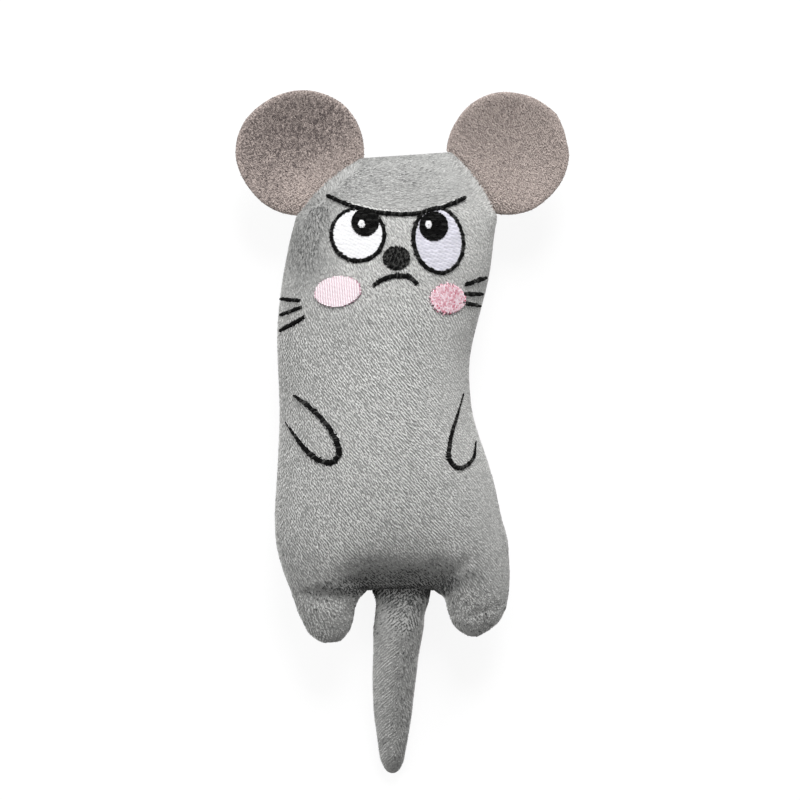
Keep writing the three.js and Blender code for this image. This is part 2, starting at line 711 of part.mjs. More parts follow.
function patchSolid(shape, low, high) {
  const { x, y, halfWidth, halfHeight, tilt = 0 } = shape;
  const turn = THREE.MathUtils.degToRad(tilt);
  const places = [[x, y]];
  for (let ring = 1; ring <= PATCH_RINGS; ring++) {
    for (let k = 0; k < PATCH_SIDES; k++) {
      const angle = (2 * Math.PI * k) / PATCH_SIDES;
      const across = (halfWidth * ring * Math.cos(angle)) / PATCH_RINGS;
      const up = (halfHeight * ring * Math.sin(angle)) / PATCH_RINGS;
      places.push([
        x + across * Math.cos(turn) - up * Math.sin(turn),
        y + across * Math.sin(turn) + up * Math.cos(turn),
      ]);
    }
  }
  const spots = places.map(([px, py]) => onFace(frontFace, px, py));
  const lifted = (height) => spots.map(({ point, normal }) => point.clone().addScaledVector(normal, height));
  const count = spots.length;
  const at = (ring, k) => (ring === 0 ? 0 : 1 + (ring - 1) * PATCH_SIDES + (k % PATCH_SIDES));
  const triangles = [];
  for (let ring = 0; ring < PATCH_RINGS; ring++) {
    for (let k = 0; k < PATCH_SIDES; k++) {
      const [a, b] = [at(ring, k), at(ring, k + 1)];
      const [c, d] = [at(ring + 1, k + 1), at(ring + 1, k)];
      triangles.push([a, d, c], [a + count, c + count, d + count]);
      if (ring > 0) triangles.push([a, c, b], [a + count, b + count, c + count]);
    }
  }
  for (let k = 0; k < PATCH_SIDES; k++) {
    const [a, b] = [at(PATCH_RINGS, k), at(PATCH_RINGS, k + 1)];
    triangles.push([a, a + count, b + count], [a, b + count, b]);
  }
  return solidOf(geometryOf([...lifted(high), ...lifted(low)], triangles));
}

// A band of satin stitches along a plan curve: a low section with a narrower top, carried over the cloth.
const BAND_STEP = 1.6;
const BAND_TOP_SHARE = 0.6;

function bandSolid(curve, widthAt, low, high, topShare = BAND_TOP_SHARE) {
  const steps = Math.max(4, Math.ceil(curve.getLength() / BAND_STEP));
  const spots = curve.getSpacedPoints(steps).map((p) => onFace(frontFace, p.x, p.y));
  const rings = spots.map(({ point, normal }, i) => {
    const before = spots[Math.max(i - 1, 0)].point;
    const after = spots[Math.min(i + 1, steps)].point;
    const side = after.clone().sub(before).cross(normal).normalize().multiplyScalar(widthAt(i / steps) / 2);
    const corner = (across, height) => (
      point.clone().addScaledVector(side, across).addScaledVector(normal, height)
    );
    return [corner(-1, low), corner(-topShare, high), corner(topShare, high), corner(1, low)];
  });
  return solidOf(solidFromRings(rings));
}

const stitchLow = GAP;
const stitchHigh = GAP + STITCH_HEIGHT;

function satin(curve, widthAt) {
  return geometryOfSolid(bandSolid(curve, widthAt, stitchLow, stitchHigh));
}

function grown(shape, margin) {
  return { ...shape, halfWidth: shape.halfWidth + margin, halfHeight: shape.halfHeight + margin };
}

const nose = {
  x: alongBody('lean', EAR_LEVEL - NOSE_BELOW_EARS) + NOSE_ASIDE,
  y: EAR_LEVEL - NOSE_BELOW_EARS,
  halfWidth: NOSE_HALF_WIDTH,
  halfHeight: NOSE_HALF_HEIGHT,
};

function onFaceOfMouse(shape) {
  return { ...shape, x: nose.x + shape.x, y: nose.y + shape.y };
}

function roundSpot({ x, y, radius }) {
  return onFaceOfMouse({ x, y, halfWidth: radius, halfHeight: radius });
}

// A bow through two ends and a middle that sits the given distance below their line.
function bow(middleX, endY, span, sag, aside) {
  return new THREE.QuadraticBezierCurve(
    new THREE.Vector2(nose.x + middleX - span / 2, nose.y + endY),
    new THREE.Vector2(nose.x + middleX + 2 * aside, nose.y + endY - 2 * sag),
    new THREE.Vector2(nose.x + middleX + span / 2, nose.y + endY),
  );
}

const brow = bow(0, BROW_HEIGHT, BROW_SPAN, BROW_SAG, BROW_ASIDE);
const mouth = bow(0, -MOUTH_DROP - MOUTH_ARCH, MOUTH_SPAN, -MOUTH_ARCH, 0);

function eyePieces(side) {
  const outer = onFaceOfMouse(EYES[side]);
  const pupil = roundSpot(EYES[side].pupil);
  const glint = roundSpot(EYES[side].glint);
  const cutBy = (shape) => patchSolid(grown(shape, GAP), CUT_BELOW, CUT_ABOVE);
  const browCut = bandSolid(brow, () => BROW_BAND + 2 * GAP, CUT_BELOW, CUT_ABOVE, 1);
  const laid = (shape) => patchSolid(shape, stitchLow, stitchHigh).subtract(browCut);
  const inside = grown(outer, -EYE_BAND);
  const outline = laid(outer).subtract(patchSolid(inside, CUT_BELOW, CUT_ABOVE)).subtract(cutBy(pupil));
  const white = laid(grown(inside, -GAP)).subtract(cutBy(pupil));
  const black = laid(pupil).subtract(cutBy(glint));
  return [
    piece(`${side}_eye_outline`, geometryOfSolid(outline), cloth(THREAD_BLACK, 0.6)),
    piece(`${side}_eye_white`, geometryOfSolid(white), cloth(THREAD_WHITE, 0.6)),
    piece(`${side}_pupil`, geometryOfSolid(black), cloth(THREAD_BLACK, 0.6)),
    piece(`${side}_eye_glint`, geometryOfSolid(laid(glint)), cloth(THREAD_WHITE, 0.6)),
  ];
}

function besideBody(side, inset, y) {
  const sign = side === 'left' ? -1 : 1;
  return new THREE.Vector2(sideOfBody(sign, y) - sign * inset, y);
}

function whisker(side, level) {
  const [outerEnd, innerEnd] = WHISKERS[side][level].map(([inset, up]) => besideBody(side, inset, nose.y + up));
  return satin(new THREE.LineCurve(outerEnd, innerEnd), () => WHISKER_BAND);
}

// The arm's line is thick round the hand and thin at both ends.
function arm(side) {
  const curve = new THREE.SplineCurve(ARMS[side].map(([inset, up]) => besideBody(side, inset, ARM_LEVEL + up)));
  const widthAt = (share) => (
    ARM_BAND * (ARM_TIP_SHARE + (1 - ARM_TIP_SHARE) * Math.sqrt(Math.sin(Math.PI * share)))
  );
  return satin(curve, widthAt);
}

function embroidery() {
  const group = new THREE.Group();
  const black = cloth(THREAD_BLACK, 0.6);
  const patch = (shape) => geometryOfSolid(patchSolid(shape, stitchLow, stitchHigh));
  group.add(
    piece('brow_stitching', satin(brow, () => BROW_BAND), black),
    piece('nose_patch', patch(nose), black),
    piece('mouth_stitching', satin(mouth, () => MOUTH_BAND), black),
    piece('left_cheek_patch', patch(onFaceOfMouse(CHEEKS.left)), cloth(THREAD_PALE_PINK, 0.6)),
    piece('right_cheek_patch', patch(onFaceOfMouse(CHEEKS.right)), cloth(THREAD_PINK, 0.6)),
  );
  for (const side of ['left', 'right']) {
    group.add(...eyePieces(side));
    for (const level of ['upper', 'middle', 'lower']) {
      group.add(piece(`${side}_whisker_${level}`, whisker(side, level), black));
    }
    group.add(piece(`${side}_arm_outline`, arm(side), black));
  }
  return group;
}

// Wads of fibre: legs first, then the body in two halves round the sachet, then the head.
const NECK_LEVEL = (WAIST_LEVEL + JAW_LEVEL) / 2;

function stuffing() {
  const form = stuffingForm();
  const reach = CROWN_LEVEL + HIP_WIDTH + THIGH_WIDTH;
  const between = (x0, x1, y0, y1, z0, z1) => form.intersect(
    blockBetween(new THREE.Vector3(x0, y0, z0), new THREE.Vector3(x1, y1, z1)),
  );
  const half = GAP / 2;
  const pocketGeometry = sachetPocket().translate(alongBody('lean', SACHET_LEVEL), SACHET_LEVEL, 0);
  const pocket = solidOf(pocketGeometry);
  const wads = {
    left_leg_stuffing: between(-reach, 0, -reach, -half, -reach, reach),
    right_leg_stuffing: between(0, reach, -reach, -half, -reach, reach),
    front_body_stuffing: between(-reach, reach, half, NECK_LEVEL - half, half, reach).subtract(pocket),
    back_body_stuffing: between(-reach, reach, half, NECK_LEVEL - half, -reach, -half).subtract(pocket),
    head_stuffing: between(-reach, reach, NECK_LEVEL + half, reach, -reach, reach),
  };
  const white = cloth(FIBRE_WHITE);
  return Object.entries(wads).map(([name, wad]) => piece(name, geometryOfSolid(wad), white));
}

function sachet() {
  const group = new THREE.Group();
  group.position.set(alongBody('lean', SACHET_LEVEL), SACHET_LEVEL, 0);
  group.add(
    piece('sachet_front_cloth', sachetCloth(1), cloth(SACHET_CREAM)),
    piece('sachet_back_cloth', sachetCloth(-1), cloth(SACHET_CREAM)),
    piece('dried_catnip', catnip(), cloth(CATNIP_GREEN)),
  );
  return group;
}

const toy = new THREE.Group();
toy.add(
  piece('front_panel', panelGeometry(frontFace, panelPlan.rim), cloth(PLUSH_GREY)),
  piece('back_panel', panelGeometry(backFace, panelPlan.rim), cloth(PLUSH_GREY)),
  piece('side_seam_stitching', sideSeam(), cloth(THREAD_GREY, 0.7)),
  ...stuffing(),
  sachet(),
  embroidery(),
  ear('left', panelPlan.earSeams.left),
  ear('right', panelPlan.earSeams.right),
  tail(panelPlan.crotch),
);

// The origin is under the middle of the toy, on the surface that it lies on.
toy.updateMatrixWorld(true);
const box = new THREE.Box3().setFromObject(toy, true);
toy.position.set(-(box.min.x + box.max.x) / 2, -(box.min.y + box.max.y) / 2, -box.min.z);

const catnipMouse = new THREE.Group();
catnipMouse.add(toy);

export default catnipMouse;
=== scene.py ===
"""Stuffed plush mouse for a cat: cloth, pile, embroidery, ears and tail over its solid frame."""

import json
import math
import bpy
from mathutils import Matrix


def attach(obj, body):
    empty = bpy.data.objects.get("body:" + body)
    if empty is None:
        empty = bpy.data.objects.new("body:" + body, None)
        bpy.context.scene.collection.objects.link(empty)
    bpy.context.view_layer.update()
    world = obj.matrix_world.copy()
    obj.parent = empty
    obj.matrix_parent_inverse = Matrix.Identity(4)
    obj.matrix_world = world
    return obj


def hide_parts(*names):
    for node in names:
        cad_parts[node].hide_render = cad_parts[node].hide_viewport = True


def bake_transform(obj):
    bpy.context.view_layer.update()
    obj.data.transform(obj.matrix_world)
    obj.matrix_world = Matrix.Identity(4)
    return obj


bl_info = {
    "name": "Catnip Mouse",
    "version": (1, 0, 0),
    "blender": (4, 5, 0),
    "location": "View3D > Sidebar > Catnip Mouse",
    "description": "Builds a stuffed plush mouse with an embroidered face over its solid frame",
    "category": "Add Mesh",
}

import bpy
import numpy as np
from mathutils import Vector

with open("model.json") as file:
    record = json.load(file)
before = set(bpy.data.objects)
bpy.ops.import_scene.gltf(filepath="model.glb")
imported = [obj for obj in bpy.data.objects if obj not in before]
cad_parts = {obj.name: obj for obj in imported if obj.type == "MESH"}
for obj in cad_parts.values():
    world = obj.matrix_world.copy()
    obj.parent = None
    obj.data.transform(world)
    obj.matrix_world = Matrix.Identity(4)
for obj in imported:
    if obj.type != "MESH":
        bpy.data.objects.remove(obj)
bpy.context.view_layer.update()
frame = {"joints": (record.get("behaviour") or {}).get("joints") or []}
JOINTS = {joint["name"]: joint for joint in frame["joints"]}

MM = 0.001
# Tail's pivot from the middle of the crotch seam: to the right, and down
HIP_LEAN, TAIL_PIVOT_DROP = -0.8, 2.3
# Sewing frame, in millimetres: x to the viewer's right, y up from the crotch seam, z out of the belly from the seam.
TAIL_PIVOT = np.array(JOINTS["tail_lift"]["pos_m"]) / MM
SEAM_ORIGIN = TAIL_PIVOT - (HIP_LEAN, -TAIL_PIVOT_DROP, 0)

# Level up the body, left side and right side
SIDES = np.array([
    (0.0, -32.5, 31.2), (5.3, -34.55, 31.4), (9.9, -35.9, 31.15), (14.6, -36.8, 30.8), (21.6, -37.1, 28.9),
    (31.0, -36.6, 26.9), (38.0, -36.2, 24.8), (49.6, -35.7, 21.0), (56.6, -35.8, 19.9), (66.0, -36.2, 19.6),
    (73.0, -36.4, 20.7), (80.0, -36.1, 22.5), (91.7, -34.7, 25.4), (103.4, -32.4, 26.9), (108.9, -30.8, 27.7),
])
EAR_LEVEL = 108.9
# How far each ear reaches in behind its fold
EAR_BASE = 2.4
# How far each ear's middle lies along its seam from the fold's middle
EAR_SHIFT = {"left": 0.5, "right": -1.35}
# Part of the pile's map kept for painted shadow in a tight fold, the shade that reaches it, and its share of the dark
SHADOW_SHARE, PAINTED_SHADOW_SHADE, SHADOW_TINT = 0.05, -0.05, 0.12
# Share of its colour that a tuft keeps at its root: painted shade deep in the pile
ROOT_SHADOW_TINT = 0.72
# How far each ear's rim lies outside a circle, by the angle in degrees from the viewer's right
EAR_RIM = {
    "left": np.array([
        (35, 0.75), (48, 0.75), (65, 0.35), (88, 0.0), (105, -0.28), (126, -0.25), (138, 0.0), (150, 0.38), (167, 0.65),
        (184, 0.7), (205, 0.2), (220, 0.05), (236, 0.28), (250, 0.35)]),
    "right": np.array([
        (-65, 0.0), (-48, -0.27), (-25, 0.0), (-2, 0.2), (11, -0.25), (28, 0.05), (38, 0.42), (50, 0.0), (60, -0.1),
        (80, -0.35), (98, -0.2), (118, -0.33), (132, -0.5), (146, -0.75)]),
}
# How far each side of the head swells past the straight seam of its ear
HEAD_SWELL = {"left": 1.4, "right": 1.1}
CROWN = np.array([(-11.9, 126.1), (14.6, 127.9)])
# Each leg's depth below the crotch, with its left and right sides there; the last row is where the foot closes
LEFT_LEG = np.array([
    (0.0, -32.5, -10.2), (0.9, -32.3, -11.0), (1.8, -31.95, -12.0), (2.6, -31.6, -12.55), (3.5, -31.3, -13.0),
    (5.3, -30.75, -13.7), (7.0, -30.1, -14.0), (8.8, -29.2, -14.3), (10.5, -28.35, -14.85), (12.3, -27.45, -15.5),
    (13.1, -26.7, -16.3), (14.0, -25.55, -17.0), (14.9, -24.1, -18.1), (15.5, -21.4, -21.4),
])
RIGHT_LEG = np.array([
    (0.0, 9.4, 31.2), (0.9, 11.0, 31.15), (1.8, 12.0, 31.0), (2.6, 12.6, 30.9), (3.5, 12.8, 30.65),
    (5.3, 13.15, 30.35), (7.0, 13.7, 29.5), (8.8, 14.3, 28.6), (10.5, 15.35, 26.95), (11.4, 16.2, 25.85),
    (12.3, 17.35, 24.35), (13.1, 18.75, 22.95), (13.75, 20.7, 20.7),
])
# Tail's depth below the crotch, its middle and its half-width before the tip closes
TAIL_TAPER = np.array([
    (0.0, -0.14, 8.3), (3.5, 0.06, 7.44), (7.0, -0.59, 7.03), (11.4, -1.04, 7.1), (14.9, -1.34, 6.8),
    (19.0, -1.76, 6.45), (24.8, -2.19, 6.2), (30.7, -2.5, 5.8), (36.5, -2.68, 5.4), (42.3, -2.73, 4.75),
    (48.2, -2.88, 4.45), (54.0, -2.78, 4.95),
])

# Spans of a panel's first grid, and how many spans each becomes in the fine one
LEG_COLUMNS, CROTCH_COLUMNS = 14, 12
LEG_ROWS, BODY_ROWS, HEAD_ROWS = 12, 44, 12
REFINE = 3
# Search for a place on a panel: steps, the longest step in spans, and how near its end counts as found
SEARCH_STEPS, SEARCH_STRIDE, SEARCH_NEAR = 14, 8, 0.05
CROTCH_ROW = LEG_ROWS
LEFT_COLUMN = LEG_COLUMNS
RIGHT_COLUMN = LEG_COLUMNS + CROTCH_COLUMNS

# Angle of the ribs and the nap over the body, in degrees from the viewer's right, and how far tufts stray from ribs
RIB_ANGLE, RIB_STAGGER, EXTRA_STAGGER = -52, 0.125, 0.2
# Middle of the catnip sachet, and the share of its size inside the hem
SACHET, SACHET_HEM = np.array([-6.2, 42.0, 0.0]), 0.8125

# Channels of a colour setting and their limits
RGB = {"size": 3, "min": 0, "max": 1}


class PlushSettings(bpy.types.PropertyGroup):
    """Grey short-pile plush of the body, the tail and the backs of the ears."""

    pile_length: bpy.props.FloatProperty(
        name="Pile length", description="Length of one tuft", default=0.0015, unit="LENGTH")
    pile_width: bpy.props.FloatProperty(
        name="Tuft width", description="Width of one tuft at its root", default=0.0005, unit="LENGTH")
    pile_lean: bpy.props.FloatProperty(
        name="Pile lean", description="Angle between a tuft and the cloth", default=math.radians(24), subtype="ANGLE")
    rib_pitch: bpy.props.FloatProperty(
        name="Rib pitch", description="Distance between two ribs of the knit", default=0.00078, unit="LENGTH")
    rib_step: bpy.props.FloatProperty(
        name="Rib step", description="Distance between two tufts along a rib", default=0.0005, unit="LENGTH")
    light: bpy.props.FloatVectorProperty(
        name="Light tufts", description="Colour of the lightest tufts", default=(0.88, 0.88, 0.86),
        subtype="COLOR", **RGB)
    dark: bpy.props.FloatVectorProperty(
        name="Dark tufts", description="Colour of the darkest tufts", default=(0.075, 0.077, 0.076),
        subtype="COLOR", **RGB)


class BodySettings(bpy.types.PropertyGroup):
    """Stuffed body of two panels."""

    front_rise: bpy.props.FloatProperty(
        name="Front rise", description="Height of the belly above the side seam", default=0.017, unit="LENGTH")
    back_rise: bpy.props.FloatProperty(
        name="Back rise", description="Depth of the back below the side seam", default=0.0145, unit="LENGTH")
    edge_inset: bpy.props.FloatProperty(
        name="Edge inset", description="How far the pile stands past the cloth's edge", default=0.0001, unit="LENGTH")
    cloth: bpy.props.FloatProperty(
        name="Cloth", description="Thickness of the knitted backing", default=0.0008, unit="LENGTH")
    pressure: bpy.props.FloatProperty(
        name="Stuffing pressure", description="Pressure that fills the sewn cloth", default=4.0)
    most_swell: bpy.props.FloatProperty(
        name="Most swell", description="Furthest that stuffing may move the cloth", default=0.003, unit="LENGTH")
    crease: bpy.props.FloatProperty(
        name="Leg crease", description="Depth of the creases where the legs meet the belly", default=0.0014,
        unit="LENGTH")


class ThreadSettings(bpy.types.PropertyGroup):
    """Embroidery thread."""

    radius: bpy.props.FloatProperty(
        name="Thread radius", description="Radius of one thread", default=0.0002, unit="LENGTH")
    pitch: bpy.props.FloatProperty(
        name="Thread pitch", description="Distance between neighbouring threads", default=0.00037, unit="LENGTH")
    stitch: bpy.props.FloatProperty(
        name="Fill stitch", description="Shortest stitch of a filled patch", default=0.0007, unit="LENGTH")
    lift: bpy.props.FloatProperty(
        name="Lift", description="Height of the stitches above the cloth", default=0.0007, unit="LENGTH")
    black: bpy.props.FloatVectorProperty(
        name="Black", description="Brow, outlines, pupils, nose, mouth, whiskers and arms", default=(0.11, 0.11, 0.106),
        subtype="COLOR", **RGB)
    white: bpy.props.FloatVectorProperty(
        name="White", description="Eye whites and glints", default=(0.87, 0.87, 0.88), subtype="COLOR", **RGB)
    lavender: bpy.props.FloatVectorProperty(
        name="Shaded white", description="The larger eye's white", default=(0.82, 0.81, 0.88), subtype="COLOR", **RGB)
    pink: bpy.props.FloatVectorProperty(
        name="Pink", description="Right cheek", default=(1.0, 0.88, 0.93), subtype="COLOR", **RGB)
    pale_pink: bpy.props.FloatVectorProperty(
        name="Pale pink", description="Left cheek", default=(0.91, 0.84, 0.87), subtype="COLOR", **RGB)


class EarSettings(bpy.types.PropertyGroup):
    """Two-ply round ears."""

    radius: bpy.props.FloatProperty(
        name="Radius", description="Radius of the ear", default=0.0182, unit="LENGTH")
    centre_out: bpy.props.FloatProperty(
        name="Centre out", description="Distance of the ear's centre from its fold", default=0.01155, unit="LENGTH")
    cup: bpy.props.FloatProperty(
        name="Cup", description="How far the rim curls forward", default=0.0032, unit="LENGTH")
    ply: bpy.props.FloatProperty(
        name="Ply", description="Thickness of one cloth of the ear", default=0.0011, unit="LENGTH")
    velour_length: bpy.props.FloatProperty(
        name="Velour length", description="Length of the facing's pile", default=0.0008, unit="LENGTH")
    velour_area: bpy.props.FloatProperty(
        name="Velour tuft area", description="Cloth area for each tuft of the facing, in square millimetres",
        default=0.2)
    light: bpy.props.FloatVectorProperty(
        name="Light mauve", description="Colour of the lightest tufts of the facing", default=(0.61, 0.518, 0.476),
        subtype="COLOR", **RGB)
    dark: bpy.props.FloatVectorProperty(
        name="Dark mauve", description="Colour of the darkest tufts of the facing", default=(0.13, 0.105, 0.102),
        subtype="COLOR", **RGB)


class TailSettings(bpy.types.PropertyGroup):
    """Stuffed tapered tail."""

    length: bpy.props.FloatProperty(
        name="Length", description="Length from the crotch seam", default=0.054, unit="LENGTH")
    root_thickness: bpy.props.FloatProperty(
        name="Root thickness", description="Thickness where the tail is sewn in", default=0.003, unit="LENGTH")
    droop: bpy.props.FloatProperty(
        name="Droop", description="How far the tail hangs below the seam", default=math.radians(13.17), subtype="ANGLE")


class StageSettings(bpy.types.PropertyGroup):
    """Floor, light and camera."""

    sky: bpy.props.FloatProperty(name="Sky", description="Strength of the even light", default=0.2)
    key: bpy.props.FloatProperty(
        name="Key", description="Power of the soft lamp above the head, in watts", default=15.2)
    fill: bpy.props.FloatProperty(
        name="Fill", description="Power of the soft lamp at each side, in watts", default=5.4)
    lens: bpy.props.FloatProperty(name="Lens", description="Focal length in millimetres", default=400.0)
    width: bpy.props.FloatProperty(
        name="Picture width", description="Width of the view at the side seam", default=0.2336, unit="LENGTH")
    centre_x: bpy.props.FloatProperty(
        name="Centre across", description="Middle of the view from the crotch, to the right", default=-0.00058,
        unit="LENGTH")
    centre_y: bpy.props.FloatProperty(
        name="Centre up", description="Middle of the view above the crotch seam", default=0.05548, unit="LENGTH")


class MouseSettings(bpy.types.PropertyGroup):
    """All settings of the mouse."""

    plush: bpy.props.PointerProperty(type=PlushSettings)
    body: bpy.props.PointerProperty(type=BodySettings)
    thread: bpy.props.PointerProperty(type=ThreadSettings)
    ear: bpy.props.PointerProperty(type=EarSettings)
    tail: bpy.props.PointerProperty(type=TailSettings)
    stage: bpy.props.PointerProperty(type=StageSettings)


# Small tools


def ease(low, high, value):
    """Eased step from 0 at low to 1 at high: three times the square of the share less twice its cube."""
    t = np.clip((value - low) / (high - low), 0, 1)
    return t * t * (3 - 2 * t)


def unit(vectors):
    """Vectors divided by their lengths."""
    return vectors / np.maximum(np.linalg.norm(vectors, axis=-1, keepdims=True), 1e-12)


def through(stations, values, at):
    """Smooth curve through stations: cubic pieces whose end slopes are those of the neighbouring stations' chord."""
    before = np.maximum(np.arange(len(stations)) - 1, 0)
    after = np.minimum(np.arange(len(stations)) + 1, len(stations) - 1)
    slopes = (values[after] - values[before]) / (stations[after] - stations[before])
    i = np.clip(np.searchsorted(stations, at) - 1, 0, len(stations) - 2)
    step = stations[i + 1] - stations[i]
    t = (at - stations[i]) / step
    rise = (values[i + 1] - values[i]) * t * t * (3 - 2 * t)
    return values[i] + rise + step * t * (1 - t) * (slopes[i] * (1 - t) - slopes[i + 1] * t)


def scaled(colour, share):
    """A colour times a share."""
    return [value * share for value in colour]


def spot(x, y, centre_x, centre_y, reach_x, reach_y):
    """Soft spot: 1 at its centre, falling off by the exponential of the square of the distance over the reach."""
    return np.exp(-((x - centre_x) / reach_x) ** 2 - ((y - centre_y) / reach_y) ** 2)


def rotated(one, two, way):
    """A pair of measures turned by the angle whose cosine and sine are given."""
    cosine, sine = way
    return one * cosine - two * sine, one * sine + two * cosine


def travelled(points):
    """Distance along a line of points: the sum of the steps up to each."""
    return np.concatenate([[0], np.cumsum(np.linalg.norm(np.diff(points, axis=0), axis=1))])


def soft_noise(x, y, size, seed):
    """Smooth noise from 0 to 1: random values on a square lattice of the given size, eased between its points."""
    span = 64
    lattice = np.random.default_rng(seed).random((span, span))
    a, b = x / size, y / size
    i, j = np.floor(a).astype(int), np.floor(b).astype(int)
    s, t = ease(0, 1, a - i), ease(0, 1, b - j)
    at = lambda di, dj: lattice[(i + di) % span, (j + dj) % span]
    return (at(0, 0) * (1 - s) + at(1, 0) * s) * (1 - t) + (at(0, 1) * (1 - s) + at(1, 1) * s) * t


def new_mesh(name, points, *faces):
    """Mesh from sewing-frame points in millimetres and arrays of triangles, quads or larger faces."""
    mesh = bpy.data.meshes.new(name)
    places = (np.asarray(points, float).reshape(-1, 3) + SEAM_ORIGIN) * MM
    corners = np.concatenate([face.ravel() for face in faces]).astype(np.int32)
    counts = np.concatenate([np.full(len(face), face.shape[1]) for face in faces])
    starts = np.concatenate(([0], np.cumsum(counts)[:-1])).astype(np.int32)
    mesh.vertices.add(len(places))
    mesh.vertices.foreach_set("co", places.astype(np.float32).ravel())
    mesh.loops.add(len(corners))
    mesh.loops.foreach_set("vertex_index", corners)
    mesh.polygons.add(len(counts))
    mesh.polygons.foreach_set("loop_start", starts)
    mesh.update(calc_edges=True)
    mesh.shade_smooth()
    return mesh


def new_object(data):
    """Object at the origin of the scene for a mesh, camera or lamp, with its name."""
    item = bpy.data.objects.new(data.name, data)
    bpy.context.scene.collection.objects.link(item)
    return item


def new_piece(mesh, materials, body="body"):
    """Object at the origin that wears these materials and rides on a body, unless the body is None."""
    piece = new_object(mesh)
    for material in materials:
        mesh.materials.append(material)
    if body:
        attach(piece, body)
    return piece


def add_map(mesh, layer, places):
    """Gives each corner of a mesh its place on a map, and the same again on the map for baking."""
    for name in (layer, "OFBake"):
        mesh.uv_layers.new(name=name).data.foreach_set("uv", places.astype(np.float32).ravel())
    mesh.uv_layers.active = mesh.uv_layers[layer]


def numbered(mask):
    """Vertex numbers in reading order where a mask is true, and -1 elsewhere."""
    return np.where(mask, np.cumsum(mask.ravel()).reshape(mask.shape) - 1, -1)


def grid_quads(index):
    """Quads of a grid of vertex numbers, facing up where rows run up and columns to the right; none at a -1."""
    quads = np.stack([index[:-1, :-1], index[:-1, 1:], index[1:, 1:], index[1:, :-1]], -1).reshape(-1, 4)
    return quads[(quads >= 0).all(1)]


def closed_grid(top, bottom):
    """Points and quads of a closed form: an upper grid, a lower one and the strip between their edges."""
    index = np.arange(top.shape[0] * top.shape[1]).reshape(top.shape[:2])
    loop = np.concatenate([index[0], index[1:, -1], index[-1, -2::-1], index[-2:0:-1, 0]])
    after = np.roll(loop, -1)
    strip = np.stack([loop, loop + index.size, after + index.size, after], -1)
    quads = np.concatenate([grid_quads(index), grid_quads(index + index.size)[:, ::-1], strip])
    return np.concatenate([top.reshape(-1, 3), bottom.reshape(-1, 3)]), quads


def tube_faces(rows, columns):
    """Quads of a closed tube whose rows go round it, with a face over each end."""
    index = np.arange(rows * columns).reshape(rows, columns)
    after = np.roll(index, -1, 1)
    quads = np.stack([index[:-1], after[:-1], after[1:], index[1:]], -1).reshape(-1, 4)
    return quads, np.stack([index[0, ::-1], index[-1]])


def turned(right, up, way, swerve, normals):
    """Unit directions over a cloth: a way across and up it, turned by a swerve, less its part along the normal."""
    across, rise = rotated(*way.T, (np.cos(swerve), np.sin(swerve)))
    ways = right * across[:, None] + up * rise[:, None]
    return unit(ways - normals * (ways * normals).sum(1, keepdims=True))


# Materials


def new_material(name, roughness, specular):
    """Material with its tree and its shader, of a given roughness and specular level."""
    material = bpy.data.materials.new(name)
    material.use_nodes = True
    tree = material.node_tree
    shader = tree.nodes["Principled BSDF"]
    shader.inputs["Roughness"].default_value = roughness
    shader.inputs["Specular IOR Level"].default_value = specular
    return material, tree, shader


def ramp_between(tree, low, high, start=0.0, end=1.0):
    """Even change from a low colour at the start to a high one at the end."""
    ramp = tree.nodes.new("ShaderNodeValToRGB")
    for element, place, colour in zip(ramp.color_ramp.elements, (start, end), (low, high)):
        element.position, element.color = place, (*colour, 1)
    return ramp


def colour_by_map(tree, shader, layer, across, up):
    """Base colour from a map: the ramp across it times the ramp up it."""
    uv = tree.nodes.new("ShaderNodeUVMap")
    uv.uv_map = layer
    split = tree.nodes.new("ShaderNodeSeparateXYZ")
    mix = tree.nodes.new("ShaderNodeMix")
    mix.data_type = "RGBA"
    mix.blend_type = "MULTIPLY"
    mix.inputs["Factor"].default_value = 1
    tree.links.new(uv.outputs["UV"], split.inputs["Vector"])
    for part, ramp, factor in (("X", across, "A"), ("Y", up, "B")):
        tree.links.new(split.outputs[part], ramp.inputs["Fac"])
        tree.links.new(ramp.outputs["Color"], mix.inputs[factor])
    tree.links.new(mix.outputs["Result"], shader.inputs["Base Color"])


def pile_material(name, dark, light):
    """Colour from the tuft's own shade, across, times painted shade towards its root, up, by the pile's map.

    The first twentieth of the map is the painted shadow of tufts in a tight fold.
    """
    material, tree, shader = new_material(name, 0.85, 0.2)
    shader.inputs["Sheen Weight"].default_value = 0.1
    shader.inputs["Sheen Roughness"].default_value = 0.4
    shade = ramp_between(tree, dark, light, SHADOW_SHARE, 1)
    deep = shade.color_ramp.elements.new(0)
    deep.color = (*scaled(dark, SHADOW_TINT), 1)
    root = ramp_between(tree, (ROOT_SHADOW_TINT, ROOT_SHADOW_TINT, ROOT_SHADOW_TINT), (1, 1, 1), 0.0, 0.75)
    colour_by_map(tree, shader, "Pile", shade, root)
    return material


def cloth_material(name, dark, light, grain):
    """Knitted backing: fine noise between two shades and a bump of the same grain, in Object coordinates."""
    material, tree, shader = new_material(name, 0.95, 0.1)
    place = tree.nodes.new("ShaderNodeTexCoord")
    noise = tree.nodes.new("ShaderNodeTexNoise")
    noise.inputs["Scale"].default_value = 1 / grain
    noise.inputs["Detail"].default_value = 3
    ramp = ramp_between(tree, dark, light, 0.3, 0.7)
    bump = tree.nodes.new("ShaderNodeBump")
    bump.inputs["Strength"].default_value = 0.6
    bump.inputs["Distance"].default_value = grain / 3
    tree.links.new(place.outputs["Object"], noise.inputs["Vector"])
    tree.links.new(noise.outputs["Fac"], ramp.inputs["Fac"])
    tree.links.new(ramp.outputs["Color"], shader.inputs["Base Color"])
    tree.links.new(noise.outputs["Fac"], bump.inputs["Height"])
    tree.links.new(bump.outputs["Normal"], shader.inputs["Normal"])
    return material


